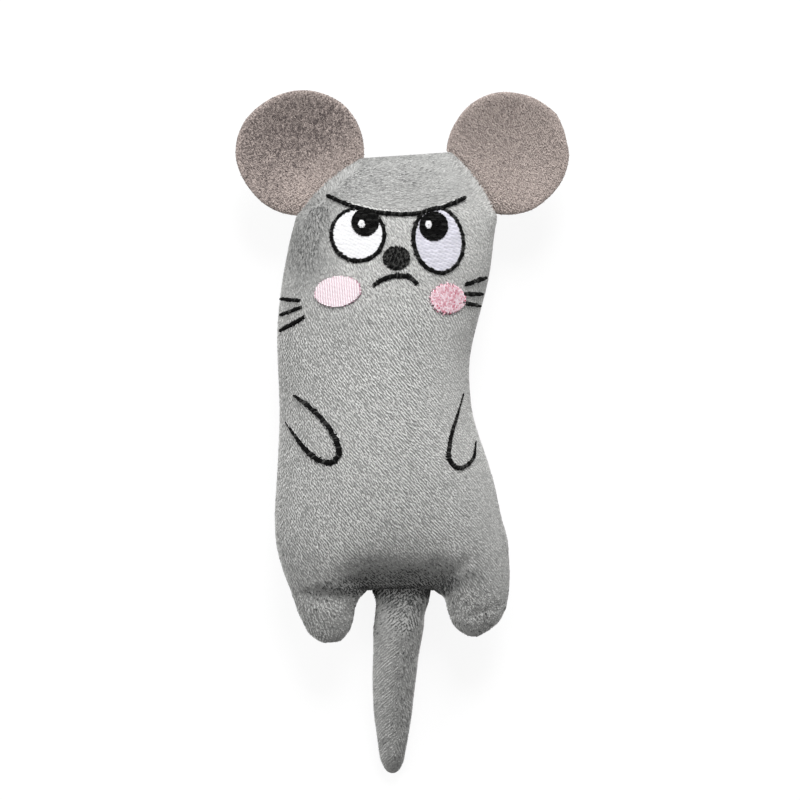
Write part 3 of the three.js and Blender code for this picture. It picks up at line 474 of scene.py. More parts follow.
def thread_material(name, colour, deep, hole, start=0.1, shine=0.3):
    """Rayon thread: a tone between a deep and a full colour, times painted shade at its needle holes, by its map."""
    material, tree, shader = new_material(name, 0.6, shine)
    tone = ramp_between(tree, deep, colour, start, 1.0)
    dive = ramp_between(tree, hole, (1, 1, 1), 0.1, 0.75)
    colour_by_map(tree, shader, "Thread", tone, dive)
    return material


# The stuffed body

# Conjugate-gradient steps of the film at most, and the rest at which it is solved
FILM_STEPS, FILM_REST = 400, 1e-10
# Blender's cloth for the two sewn panels, its frames, and how often its movement is averaged
CLOTH = {
    "quality": 6, "mass": 0.2, "tension_stiffness": 12, "compression_stiffness": 12, "shear_stiffness": 6,
    "bending_stiffness": 0.4, "use_pressure": True, "vertex_group_mass": "seam",
}
CLOTH_FRAMES, CLOTH_AVERAGES = 20, 30


def body_plan(inset):
    """Plan of a panel as grids of x and y, with rows from the feet up to the crown and columns from side to side.

    A torso row runs straight across between the two sides. Above the ear level rows run evenly from there to the
    crown, and their ends swell over the ears' seams as a parabola. Leg rows go down from the crotch row by the
    sine of an even turn, so that they close up round the foot, and span the leg's sides at that turn. Points
    between the legs, where there is no cloth, are not numbers.
    """
    columns = 2 * LEG_COLUMNS + CROTCH_COLUMNS
    eased = (1 - np.cos(np.linspace(0, np.pi, LEG_COLUMNS + 1))) / 2
    left, right = SIDES[0, 1] + inset, SIDES[0, 2] - inset
    left_root, right_root = LEFT_LEG[0, 2], RIGHT_LEG[0, 1]
    roots = np.concatenate([
        left + (left_root - left) * eased,
        np.linspace(left_root, right_root, CROTCH_COLUMNS + 1)[1:-1],
        right_root + (right - right_root) * eased,
    ])
    share = (roots - left) / (right - left)

    ramp = np.linspace(0, 1, BODY_ROWS + 1)
    levels = EAR_LEVEL * (0.5 * ramp + 0.5 * (1 - np.cos(ramp * np.pi / 2)))
    start = through(SIDES[:, 0], SIDES[:, 1], levels) + inset
    end = through(SIDES[:, 0], SIDES[:, 2], levels) - inset
    torso_x = start[:, None] + (end - start)[:, None] * share
    torso_y = np.repeat(levels[:, None], columns + 1, 1)

    up = np.sin(np.linspace(0, np.pi / 2, HEAD_ROWS + 1))[1:, None]
    crown_x = CROWN[0, 0] + inset + (CROWN[1, 0] - CROWN[0, 0] - 2 * inset) * share
    crown_y = CROWN[0, 1] - inset + (CROWN[1, 1] - CROWN[0, 1]) * share
    head_x = torso_x[-1] + (crown_x - torso_x[-1]) * up
    head_y = torso_y[-1] + (crown_y - torso_y[-1]) * up
    for side, edge in (("left", ease(0.35, 0, share)), ("right", ease(0.65, 1, share))):
        out = ear_chord(side)[2] * HEAD_SWELL[side]
        head_x = head_x + out[0] * 4 * up * (1 - up) * edge
        head_y = head_y + out[1] * 4 * up * (1 - up) * edge

    turn = np.linspace(np.pi / 2 * 0.95, 0, LEG_ROWS + 1)[:-1]
    legs_x = np.full((LEG_ROWS, columns + 1), np.nan)
    legs_y = np.full((LEG_ROWS, columns + 1), np.nan)
    fade = ease(0, 0.15, turn)
    for span, leg, trims in (
            (slice(0, LEFT_COLUMN + 1), LEFT_LEG, (1, fade)), (slice(RIGHT_COLUMN, None), RIGHT_LEG, (fade, 1))):
        turns = np.arcsin(leg[:, 0] / leg[-1, 0])
        one = through(turns, leg[:, 1], turn) + inset * np.cos(turn) * trims[0]
        two = through(turns, leg[:, 2], turn) - inset * np.cos(turn) * trims[1]
        row = roots[span]
        place = (row - row[0]) / (row[-1] - row[0])
        legs_x[:, span] = one[:, None] + (two - one)[:, None] * place
        legs_y[:, span] = -(leg[-1, 0] - inset) * np.sin(turn)[:, None]
    return np.concatenate([legs_x, torso_x, head_x]), np.concatenate([legs_y, torso_y, head_y])


def rim_of(x):
    """Mask of the points on the panel's edge."""
    rim = np.zeros(x.shape, bool)
    rim[-1] = rim[:, 0] = rim[:, -1] = rim[0] = True
    rim[:CROTCH_ROW + 1, LEFT_COLUMN] = rim[:CROTCH_ROW + 1, RIGHT_COLUMN] = True
    rim[CROTCH_ROW, LEFT_COLUMN:RIGHT_COLUMN + 1] = True
    return rim & ~np.isnan(x)


def inflate(x, y):
    """Height from 0 to 1 of cloth blown up by even pressure and held at its rim.

    The film solves Laplace u = -1 by conjugate gradients on the grid's triangles with cotangent weights; the
    square root of that film is the round section of a stuffed form.
    """
    valid = ~np.isnan(x)
    quads = grid_quads(numbered(valid))
    triangles = np.concatenate([quads[:, [0, 1, 2]], quads[:, [0, 2, 3]]])
    places = np.stack([x[valid], y[valid]], -1)
    count = len(places)
    ends, weights, load = [], [], np.zeros(count)
    for k in range(3):
        apex, one, two = (triangles[:, (k + n) % 3] for n in range(3))
        a, b = places[one] - places[apex], places[two] - places[apex]
        twice_area = np.abs(a[:, 0] * b[:, 1] - a[:, 1] * b[:, 0]) + 1e-9
        weights.append((a * b).sum(1) / twice_area / 2)
        ends.append(np.stack([one, two], -1))
        load += np.bincount(apex, twice_area / 6, count)
    ends, weights = np.concatenate(ends), np.concatenate(weights)
    free = ~rim_of(x)[valid]
    diagonal = np.bincount(ends[:, 0], weights, count) + np.bincount(ends[:, 1], weights, count)

    def pull(film):
        """Pull of the film on each free point: the sum of the weighted differences from its neighbours."""
        change = weights * (film[ends[:, 0]] - film[ends[:, 1]])
        return (np.bincount(ends[:, 0], change, count) - np.bincount(ends[:, 1], change, count)) * free

    film = np.zeros(count)
    rest = load * free
    eased = rest / diagonal
    way, size = eased.copy(), rest @ eased
    for _ in range(FILM_STEPS):
        pulled = pull(way)
        step = size / (way @ pulled)
        film += step * way
        rest = rest - step * pulled
        eased = rest / diagonal
        size, before = rest @ eased, size
        if size < FILM_REST:
            break
        way = eased + size / before * way
    heights = np.full(x.shape, np.nan)
    heights[valid] = np.sqrt(np.maximum(film, 0) / film.max())
    return heights


def fill_by_cloth(front, back, settings):
    """Sews the two panels into one bag and lets cloth under pressure settle it, held along the seam.

    The movement is averaged with its neighbours', because the pile hides small wrinkles, and each point moves at
    most the stated swell from where it began. Returns the two settled panels.
    """
    valid = ~np.isnan(front[..., 0])
    rim = rim_of(front[..., 0])
    index = numbered(valid)
    inner = valid & ~rim
    below = np.where(inner, valid.sum() + numbered(inner), index)
    quads = np.concatenate([grid_quads(index), grid_quads(below)[:, ::-1]])
    points = np.concatenate([front[valid], back[inner]])
    mesh = new_mesh("bag", points, quads)
    bag = new_object(mesh)
    held = bag.vertex_groups.new(name="seam")
    held.add(index[rim].tolist(), 1.0, "REPLACE")
    cloth = bag.modifiers.new("Stuffing", "CLOTH")
    for name, value in CLOTH.items():
        setattr(cloth.settings, name, value)
    cloth.settings.uniform_pressure_force = settings.pressure
    cloth.settings.effector_weights.gravity = 0
    cloth.point_cache.frame_start, cloth.point_cache.frame_end = 1, CLOTH_FRAMES
    scene = bpy.context.scene
    for step in range(1, CLOTH_FRAMES + 1):
        scene.frame_set(step)
    settled = bag.evaluated_get(bpy.context.evaluated_depsgraph_get())
    places = np.empty(len(points) * 3, np.float32)
    settled.data.vertices.foreach_get("co", places)
    moved = places.reshape(-1, 3) / MM - SEAM_ORIGIN - points
    scene.frame_set(1)
    joined = np.unique(np.sort(np.concatenate([quads[:, [k, (k + 1) % 4]] for k in range(4)]), 1), axis=0)
    both = np.concatenate([joined, joined[:, ::-1]])
    neighbours = np.bincount(both[:, 0], minlength=len(points))[:, None]
    free = np.ones((len(points), 1))
    free[index[rim]] = 0
    for _ in range(CLOTH_AVERAGES):
        near = np.stack([np.bincount(both[:, 0], moved[both[:, 1], axis], len(points)) for axis in range(3)], -1)
        moved = (0.5 * moved + 0.5 * near / neighbours) * free
    bpy.data.objects.remove(bag)
    bpy.data.meshes.remove(mesh)
    most = settings.most_swell / MM
    far = np.linalg.norm(moved, axis=1, keepdims=True)
    points = points + moved * np.minimum(1, most / np.maximum(far, 1e-9))
    front, back = front.copy(), back.copy()
    front[valid] = points[:valid.sum()]
    back[inner] = points[valid.sum():]
    back[rim] = front[rim]
    return front, back


def finer(values, axis):
    """Catmull-Rom curve through the values along an axis, with REFINE spans for each given one."""
    values = np.moveaxis(values, axis, 0)
    ends = (2 * values[:1] - values[1:2], values, 2 * values[-1:] - values[-2:-1])
    padded = np.concatenate(ends)
    a, b, c, d = padded[:-3], padded[1:-2], padded[2:-1], padded[3:]
    parts = []
    for step in range(REFINE):
        t = step / REFINE
        parts.append(0.5 * (
            2 * b + (c - a) * t + (2 * a - 5 * b + 4 * c - d) * t ** 2 + (3 * b - a - 3 * c + d) * t ** 3))
    made = np.stack(parts, 1).reshape(-1, *values.shape[1:])
    return np.moveaxis(np.concatenate([made, values[-1:]]), 0, axis)


def refined(values):
    """A panel's grid made finer in both directions, each leg by itself below the crotch row."""
    rows, columns = (np.array(values.shape[:2]) - 1) * REFINE + 1
    across = np.full((values.shape[0], columns, *values.shape[2:]), np.nan)
    across[CROTCH_ROW:] = finer(values[CROTCH_ROW:], 1)
    left, right = LEFT_COLUMN * REFINE, RIGHT_COLUMN * REFINE
    across[:CROTCH_ROW, :left + 1] = finer(values[:CROTCH_ROW, :LEFT_COLUMN + 1], 1)
    across[:CROTCH_ROW, right:] = finer(values[:CROTCH_ROW, RIGHT_COLUMN:], 1)
    made = np.full((rows, columns, *values.shape[2:]), np.nan)
    made[:, :left + 1] = finer(across[:, :left + 1], 0)
    made[:, right:] = finer(across[:, right:], 0)
    made[CROTCH_ROW * REFINE:, left + 1:right] = finer(across[CROTCH_ROW:, left + 1:right], 0)
    return made


class Panel:
    """A cloth panel as a fine grid of points, with its normals, its plan and distances measured over the cloth."""

    crotch, left, right = CROTCH_ROW * REFINE, LEFT_COLUMN * REFINE, RIGHT_COLUMN * REFINE
    waist = (CROTCH_ROW + BODY_ROWS * 2 // 3) * REFINE

    def __init__(self, points, plan, facing):
        self.points, self.facing = points, facing
        self.valid = ~np.isnan(points[..., 0])
        self.quads = grid_quads(numbered(self.valid))
        self.normals = self.bridged(self.face_normals())
        self.plan = self.bridged(plan)
        self.at = self.bridged(points)
        self.across, self.along = self.cloth_distances()

    def face_normals(self):
        """Unit normals of the points: the sum over their quads of the cross product of the diagonals."""
        places = self.points[self.valid]
        corners = places[self.quads]
        turned = np.cross(corners[:, 2] - corners[:, 0], corners[:, 3] - corners[:, 1])
        total = np.zeros_like(places)
        for k in range(4):
            for axis in range(3):
                total[:, axis] += np.bincount(self.quads[:, k], turned[:, axis], len(places))
        made = np.full(self.points.shape, np.nan)
        made[self.valid] = unit(total) * self.facing
        return made

    def bridged(self, field):
        """The same field with the space between the legs filled from their inner edges, so that it can be sampled."""
        field = field.copy()
        middle = (self.left + self.right) // 2
        field[:self.crotch, self.left + 1:middle] = field[:self.crotch, self.left][:, None]
        field[:self.crotch, middle:self.right] = field[:self.crotch, self.right][:, None]
        return field

    def cloth_distances(self):
        """Distances over the cloth: sums of steps along a row from its middle, and up a column from the waist."""
        steps = np.linalg.norm(np.diff(self.at, axis=1), axis=-1)
        across = np.concatenate([np.zeros((len(steps), 1)), np.cumsum(steps, 1)], 1)
        middle = across.shape[1] // 2
        across -= across[:, middle:middle + 1]
        for edge, span in ((self.left, slice(0, middle)), (self.right, slice(middle, None))):
            across[:self.crotch, span] += across[self.crotch, edge] - across[:self.crotch, edge][:, None]
        rises = np.linalg.norm(np.diff(self.at, axis=0), axis=-1)
        along = np.concatenate([np.zeros((1, rises.shape[1])), np.cumsum(rises, 0)])
        return across, along - along[self.waist]

    def within(self, row, column):
        """Grid places moved to the nearest cloth."""
        rows, columns = self.valid.shape
        row, column = np.clip(row, 0, rows - 1.001), np.clip(column, 0, columns - 1.001)
        leg = row < self.crotch
        gap = leg & (column > self.left - 0.001) & (column < self.right)
        near_left = column < (self.left + self.right) / 2
        column = np.where(gap & near_left, self.left - 0.001, np.where(gap, self.right, column))
        return row, column

    def sample(self, field, row, column):
        """A field between grid points: its four neighbours in shares by nearness."""
        j, i = row.astype(int), column.astype(int)
        a, b = row - j, column - i
        if field.ndim == 3:
            a, b = a[..., None], b[..., None]
        low = field[j, i] * (1 - b) + field[j, i + 1] * b
        high = field[j + 1, i] * (1 - b) + field[j + 1, i + 1] * b
        return low * (1 - a) + high * a

    def find(self, first, second, one, two, row, column):
        """Grid places where two fields have wanted values, by Newton steps; also how far off each ended."""
        slopes = [np.gradient(field, axis=axis) for field in (first, second) for axis in (0, 1)]
        for _ in range(SEARCH_STEPS):
            row, column = self.within(row, column)
            off_one = one - self.sample(first, row, column)
            off_two = two - self.sample(second, row, column)
            a, b, c, d = (self.sample(slope, row, column) for slope in slopes)
            area = a * d - b * c
            area = np.where(np.abs(area) < 1e-6, 1e-6, area)
            row = row + np.clip((d * off_one - b * off_two) / area, -SEARCH_STRIDE, SEARCH_STRIDE)
            column = column + np.clip((a * off_two - c * off_one) / area, -SEARCH_STRIDE, SEARCH_STRIDE)
        row, column = self.within(row, column)
        off = np.hypot(one - self.sample(first, row, column), two - self.sample(second, row, column))
        return row, column, off

    def locate(self, x, y):
        """Grid places over points of the plan."""
        rows, columns = (np.arange(count) for count in self.valid.shape)
        row = np.interp(y, self.plan[:, self.left, 1], rows)
        column = np.interp(x, self.plan[2 * self.crotch, :, 0], columns)
        return self.find(self.plan[..., 0], self.plan[..., 1], x, y, row, column)

    def lattice(self, pitch, step, turn, stagger, rng):
        """Grid places of tufts on ribs: lines at an angle over the cloth, a pitch apart, with tufts a step apart."""
        reach = np.abs(np.concatenate([self.across.ravel(), self.along.ravel()])).max() * 1.2
        ribs = np.arange(-reach, reach, pitch)
        marks = np.arange(-reach, reach, step)
        r, s = (grid.ravel() for grid in np.meshgrid(ribs, marks, indexing="ij"))
        s = s + rng.random(len(s)) * step + np.repeat(rng.random(len(ribs)), len(marks)) * step
        r = r + rng.normal(0, stagger, len(r))
        p, q = rotated(s, r, (math.cos(turn), math.sin(turn)))
        near = (q > np.nanmin(self.along) - 1) & (q < np.nanmax(self.along) + 1)
        near &= (p > np.nanmin(self.across) - 1) & (p < np.nanmax(self.across) + 1)
        p, q = p[near], q[near]
        rows, columns = (np.arange(count) for count in self.valid.shape)
        row = np.interp(q, self.along[:, self.left], rows)
        column = np.interp(p, self.across[2 * self.crotch], columns)
        row, column, off = self.find(self.across, self.along, p, q, row, column)
        return row[off < SEARCH_NEAR], column[off < SEARCH_NEAR]

    def tangents(self, row, column):
        """Unit directions over the cloth, across and up, at grid places."""
        step = 0.5
        at = lambda down, aside: self.sample(self.at, *self.within(row + down, column + aside))
        return unit(at(0, step) - at(0, -step)), unit(at(step, 0) - at(-step, 0))


def creased(points, depth):
    """Presses the front in by soft troughs: a crease across the top of each leg, a fold up from the right leg's root,
    and the tuck between the legs under the belly."""
    x, y = points[..., 0], points[..., 1]
    above = y + 1.2 + 0.06 * (x + 24) - 0.4 * np.sin((x + 30) * 0.35)
    left = np.exp(-(above / np.where(above > 0, 1.3, 3.4)) ** 2) * ease(-31.5, -27, x) * ease(-13, -19, x)
    above = y + 7.7 - 0.384 * (x - 19.4)
    right = np.exp(-(above / np.where(above > 0, 1.0, 1.6)) ** 2) * ease(17.5, 20.5, x)
    fold = np.exp(-((y - 1.0 - 0.85 * (x - 10.5)) / 2.6) ** 2) * ease(8, 12, x) * ease(23, 17, x)
    tuck = np.exp(-((y - 3.2) / np.where(y > 3.2, 5.0, 3.0)) ** 2) * ease(-21, -11, x) * ease(19, 9, x)
    lowered = points.copy()
    pressed = 0.7 * left + 0.35 * right + 0.45 * fold + 1.5 * tuck
    lowered[..., 2] -= depth * pressed * np.minimum(points[..., 2] / 6, 1)
    return lowered


def make_panels(settings):
    """Front and back panels: blown-up plans, settled as sewn cloth, made finer and creased."""
    x, y = body_plan(settings.edge_inset / MM)
    height = inflate(x, y)
    front = np.stack([x, y, height * settings.front_rise / MM], -1)
    floor = settings.back_rise / MM - 0.1
    back = np.stack([x, y, -np.minimum(height * settings.back_rise / MM, floor)], -1)
    plan = refined(np.stack([x, y], -1))
    front, back = fill_by_cloth(front, back, settings)
    back[..., 2] = np.maximum(back[..., 2], -SEAM_ORIGIN[2] + 0.75)
    return Panel(creased(refined(front), settings.crease / MM), plan, 1), Panel(refined(back), plan, -1)


# The two panels once they are made, by side
PANELS = {}


def shell_of(cloth, thickness):
    """Closed cloth: the panel's face, the same face moved in by the thickness, and the strip between their edges."""
    outer = cloth.points[cloth.valid]
    inner = outer - cloth.normals[cloth.valid] * thickness
    count = len(outer)
    quads = cloth.quads if cloth.facing > 0 else cloth.quads[:, ::-1]
    edges = np.concatenate([quads[:, [k, (k + 1) % 4]] for k in range(4)])
    key = np.sort(edges, 1) @ np.array([count, 1])
    _, first, times = np.unique(key, return_index=True, return_counts=True)
    rim = edges[first[times == 1]]
    strip = np.stack([rim[:, 1], rim[:, 0], rim[:, 0] + count, rim[:, 1] + count], -1)
    return np.concatenate([outer, inner]), np.concatenate([quads, quads[:, ::-1] + count, strip])


# Pile

# Tufts: how deep a root is sunk, where the ridge stands along a tuft, how far its shading tips to each side, and the
# places of its corners on the map
TUFT_SINK, TUFT_RIDGE, TUFT_TIP = 0.08, 0.2, 0.58
TUFT_ACROSS, TUFT_UP = np.array([-0.004, 0.004, 0.001, -0.001]), np.array([0.02, 0.05, 0.35, 0.98])
# Spots of painted light and painted shade on the front, partly the nap's own unevenness: centre, reach across and
# up, and change of shade
PAINTED_LIGHT_AND_SHADE_SPOTS = (
    (-28, 99, 8, 12, -0.58), (-23.8, 109.5, 4.5, 5, -0.46), (20, 101, 6, 10, 0.14), (14, 82, 13, 4, 0.2),
    (-16, 76, 8, 9, -0.1), (-36, 80, 3.5, 6, 0.12), (4, 80, 14, 22, 0.1), (-2, 42, 22, 34, 0.1),
    (-17, 14, 7, 6, 0.17), (-15, 21, 9, 7, 0.07), (-29, 5, 7, 7, -0.1), (18, 6, 5, 4.5, -0.13),
    (-15, -5.5, 4.5, 5.5, -0.22), (-11.5, 1, 3.5, 3, -0.3), (11.8, 1.5, 3, 3, -0.25),
)
# Spots of painted shadow, deepest at the gaps beside the tail and in the fold over it: the same, with their share of it
PAINTED_SHADOW_SPOTS = ((-12, 0.5, 4, 3.5, 0.7), (12, 1.5, 3.2, 3.5, 0.5), (0, 1, 12, 3, 0.25))
# Line where the belly folds down onto the tail: places across, and its height there
FOLD_ACROSS, FOLD_UP = (-8, 0, 3.6, 8, 10), (0, 0.7, 1.2, 1.8, 1.2)


def tufts(name, roots, normals, ways, length, width, lean, shade):
    """Pile as one small four-faced blade for each root.

    A blade's foot is a triangle, two corners on the cloth and one on its ridge, and its tip lies a length away at
    the lean angle along the nap. Its shading follows the cloth and tips to each side of the ridge. The map holds
    the tuft's shade across and its height up.
    """
    side = np.cross(normals, ways)
    half, lean = width[:, None] / 2, lean[:, None]
    sunk = roots - normals * TUFT_SINK
    tip = roots + length[:, None] * (np.cos(lean) * ways + np.sin(lean) * normals)
    run = length[:, None] * TUFT_RIDGE
    ridge = roots + ways * run + normals * (half * 0.6 + run * np.sin(lean))
    corners = np.stack([sunk - side * half, sunk + side * half, ridge, tip], 1)
    blade = np.array([[0, 3, 2], [1, 2, 3], [0, 1, 3], [0, 2, 1]])
    faces = (np.arange(len(roots))[:, None, None] * 4 + blade).reshape(-1, 3)
    mesh = new_mesh(name, corners, faces)
    tips = side * TUFT_TIP
    shine = np.stack([normals - tips, normals + tips, normals, normals + ways * 0.2], 1)
    mesh.normals_split_custom_set_from_vertices(unit(shine).reshape(-1, 3).tolist())
    u = np.clip(SHADOW_SHARE + (1 - SHADOW_SHARE) * shade[:, None] + TUFT_ACROSS, 0.002, 0.998)
    v = np.broadcast_to(TUFT_UP, u.shape)
    add_map(mesh, "Pile", np.stack([u, v], -1).reshape(-1, 2)[faces.ravel()])
    return mesh


# Stitched lines, from end to end
BROW = np.array([
    (-21.4, 114.7), (-13.8, 111.5), (-7.3, 110.0), (0.2, 109.4), (7.1, 110.2), (12.7, 111.85), (18.2, 114.1)])
MOUTH = np.array([(-8.25, 88.75), (-5.25, 90.65), (-1.7, 91.55), (1.8, 91.25), (4.35, 89.35)])
ARMS = {
    "left": np.array([
        (-31.2, 56.8), (-25.5, 52.2), (-21.2, 47.5), (-18.9, 43.2), (-18.2, 40.2), (-19.5, 37.9), (-21.2, 37.2),
        (-24.6, 38.3), (-27.6, 40.6), (-30.6, 44.5), (-33.7, 48.8)]),
    "right": np.array([
        (17.8, 57.2), (15.8, 50.4), (14.5, 46.1), (13.7, 41.8), (13.6, 38.8), (14.9, 36.5), (16.8, 35.6),
        (19.1, 36.7), (20.7, 38.8), (21.2, 41.4), (21.4, 43.3)]),
}
WHISKERS = {
    "left_whisker_upper": ((-34.9, 84.9), (-29.7, 84.35)),
    "left_whisker_middle": ((-35.1, 80.25), (-29.1, 82.5)),
    "left_whisker_lower": ((-35.2, 75.65), (-28.35, 79.5)),
    "right_whisker_upper": ((24.2, 91.1), (18.4, 89.05)),
    "right_whisker_middle": ((23.1, 86.35), (17.9, 86.35)),
    "right_whisker_lower": ((22.4, 82.95), (17.5, 83.95)),
}
# Patches: centre, half-width, half-height, and tilt in degrees
EYES = {"left": (-12.75, 103.45, 8.1, 8.1, 0), "right": (10.5, 101.85, 7.6, 9.9, 8)}
PUPILS = {"left": (-10.6, 106.95, 4.1, 4.05, 0), "right": (9.1, 105.9, 4.3, 4.3, 0)}
GLINTS = {"left": (-11.6, 106.4, 1.2, 1.15, 0), "right": (7.55, 106.3, 1.1, 1.2, 0)}
NOSE = (-1.65, 96.7, 3.97, 3.39, 0)
CHEEKS = {"left": (-18.6, 86.9, 6.8, 4.4, 8), "right": (13.1, 84.85, 5.1, 4.3, 0)}
# Width of an eye's outline
EYE_BAND = 1.08
# Steps of needle holes that never line up from row to row
SCATTER = 2.618
# How the cheeks and the nose are filled
CHEEK_FILL = {
    "left": {"turn": 0.08, "edge": 0.12, "stitch": 1.0, "rows": (1, 1), "tones": (0, 1, 0.36)},
    "right": {"turn": 1.45, "edge": 0.2, "stitch": 0.62, "rows": (1, SCATTER), "tones": (0, 1, 0.4)},
}
NOSE_FILL = {"turn": 1.2, "edge": 0.16, "stitch": 0.9, "rows": (1, SCATTER), "tones": (0.3, 0.9, 1.0)}
# Widths of stitched lines at even steps from end to end
BROW_WIDTHS = (0.85, 0.9, 0.95, 0.92, 0.9)
MOUTH_WIDTHS = (1.1, 1.22, 1.28, 1.22, 1.1)
WHISKER_WIDTHS = (0.55, 0.85, 0.9, 0.9, 0.7)
ARM_WIDTHS = {
    "left": (0.3, 1.0, 1.12, 1.25, 1.28, 1.42, 1.4, 1.33, 1.35, 1.34, 1.05, 0.35, 0.06),
    "right": (0.05, 0.08, 0.25, 0.38, 0.52, 0.66, 0.9, 1.18, 1.16, 0.9, 0.55, 0.25, 0.05),
}


def smooth_path(points, step):
    """Evenly spaced points on the smooth curve through the given ones."""
    chords = travelled(points)
    fine = np.linspace(0, chords[-1], 400)
    curve = np.stack([through(chords, points[:, k], fine) for k in (0, 1)], -1)
    run = travelled(curve)
    even = np.linspace(0, run[-1], max(int(run[-1] / step), 3) + 1)
    return np.stack([np.interp(even, run, curve[:, k]) for k in (0, 1)], -1)


def stitched_lines():
    """Every stitched line with its name, path and widths."""
    lines = [("brow_stitching", BROW, BROW_WIDTHS), ("mouth_stitching", MOUTH, MOUTH_WIDTHS)]
    lines += [(f"{side}_arm_outline", path, ARM_WIDTHS[side]) for side, path in ARMS.items()]
    return lines + [(name, np.array(ends), WHISKER_WIDTHS) for name, ends in WHISKERS.items()]


def half_widths(widths, count):
    """Half of a line's width at evenly spaced places along it."""
    return np.interp(np.linspace(0, 1, count), np.linspace(0, 1, len(widths)), widths) / 2


def from_embroidery(x, y):
    """Distance from the nearest stitched patch or line, below zero inside it; lines count only where they are near."""
    margin, step = 2, 0.5
    near = np.full(x.shape, np.inf)
    for cx, cy, a, b, tilt in (*EYES.values(), NOSE, *CHEEKS.values()):
        turn = math.radians(tilt)
        s, t = rotated(x - cx, y - cy, (math.cos(turn), -math.sin(turn)))
        near = np.minimum(near, (np.hypot(s / a, t / b) - 1) * min(a, b))
    for _, path, widths in stitched_lines():
        spots = smooth_path(path, step)
        low, high = spots.min(0) - margin, spots.max(0) + margin
        box = (x > low[0]) & (x < high[0]) & (y > low[1]) & (y < high[1])
        gaps = np.hypot(x[box][:, None] - spots[:, 0], y[box][:, None] - spots[:, 1])
        near[box] = np.minimum(near[box], (gaps - half_widths(widths, len(spots))).min(1))
    return near


def ear_chord(side):
    """Ends of an ear's seam along the head and the direction from it into the ear."""
    low = SIDES[-1, 1:] if side == "left" else SIDES[-1, 1:][::-1]
    start, end = np.array([low[0], EAR_LEVEL]), CROWN[0 if side == "left" else 1]
    run = unit(end - start)
    return start, end, np.array([-run[1], run[0]]) * (1 if side == "left" else -1)


def near_ear(x, y, side):
    """How near a place on the head is to the middle of an ear's seam, from 0 to 1."""
    start, end, out = ear_chord(side)
    inside = -((x - start[0]) * out[0] + (y - start[1]) * out[1])
    run = (end - start) / ((end - start) ** 2).sum()
    share = np.clip((x - start[0]) * run[0] + (y - start[1]) * run[1], 0, 1)
    return ease(3.2, 0.4, inside) * np.sqrt(4 * share * (1 - share))


def front_nap(x, y):
    """Direction of the nap over the front, as x and y over the cloth: down the ribs, sideways above the brow, and
    out over the seams of the ears."""
    head = ease(109, 114, y) * ease(-28, -8, x)
    edge = ease(-20, -29, x) * ease(80, 92, y)
    angle = np.radians(RIB_ANGLE + 46 * head - 12 * edge)
    way = np.stack([np.cos(angle), np.sin(angle)], -1)
    for side in ("left", "right"):
        over = near_ear(x, y, side)[:, None]
        way = way * (1 - over) + ear_chord(side)[2] * over
    return unit(way)


def above_fold(x, y):
    """Height over the line where the belly folds down onto the tail."""
    return y - np.interp(x, FOLD_ACROSS, FOLD_UP)


def front_shade(x, y):
    """Lighter and darker places of the front's pile: soft spots, and bands eased across their edges.

    The spots are painted light and painted shade, partly the nap's own. Painted shade darkens the band above the brow,
    the top towards the crown and the right flank; low on the belly it is painted shadow, most of all in the fold over
    the tail. The pile is lighter in a thin line along the brow's upper edge.
    """
    spots = sum(change * spot(x, y, *place) for *place, change in PAINTED_LIGHT_AND_SHADE_SPOTS)
    above = y - np.interp(x, BROW[:, 0], BROW[:, 1]) - max(BROW_WIDTHS) / 2
    at_brow = ease(-20, -14, x) * ease(18, 12, x) * (above > 0)
    brow = (0.5 * ease(1.0, 0.5, above) - 0.12 * ease(8, 0.5, above)) * at_brow
    # Painted shade towards the crown and on the right flank
    crown = ease(108, 119, y) * (0.26 + 0.08 * ease(14, 4, x))
    flank = 0.14 * ease(14, 24, x) * ease(45, 20, y)
    # Painted shadow low on the belly, and in the fold over the tail
    leftwards, rightwards = np.maximum(-9 - x, 0), np.maximum(x - 14.3, 0)
    drop = 0.2 * leftwards + 0.012 * leftwards ** 2 + 0.85 * rightwards + 3.5 * (soft_noise(x, y, 5, 9) - 0.5)
    low = ease(13.2, -0.5, y + drop) * ease(-3, 0, y) * ease(-6, 0, y - 0.6 * np.maximum(x - 9, 0))
    over = above_fold(x, y)
    fold = ease(-0.2, 0.1, over) * ease(1.1, 0.2, over) * ease(-9.5, -7.5, x) * ease(10.5, 8, x)
    return spots + brow - crown - flank - 0.95 * low - 0.5 * fold


def rib_shade(along, aside, rng):
    """Shade of tufts on ribs: mostly light, with short dark dashes along the nap."""
    dashes = ease(0.54, 0.82, soft_noise(along, aside * 2.6, 0.8, 8))
    return 0.84 - 0.34 * dashes + rng.normal(0, 0.05, len(along))


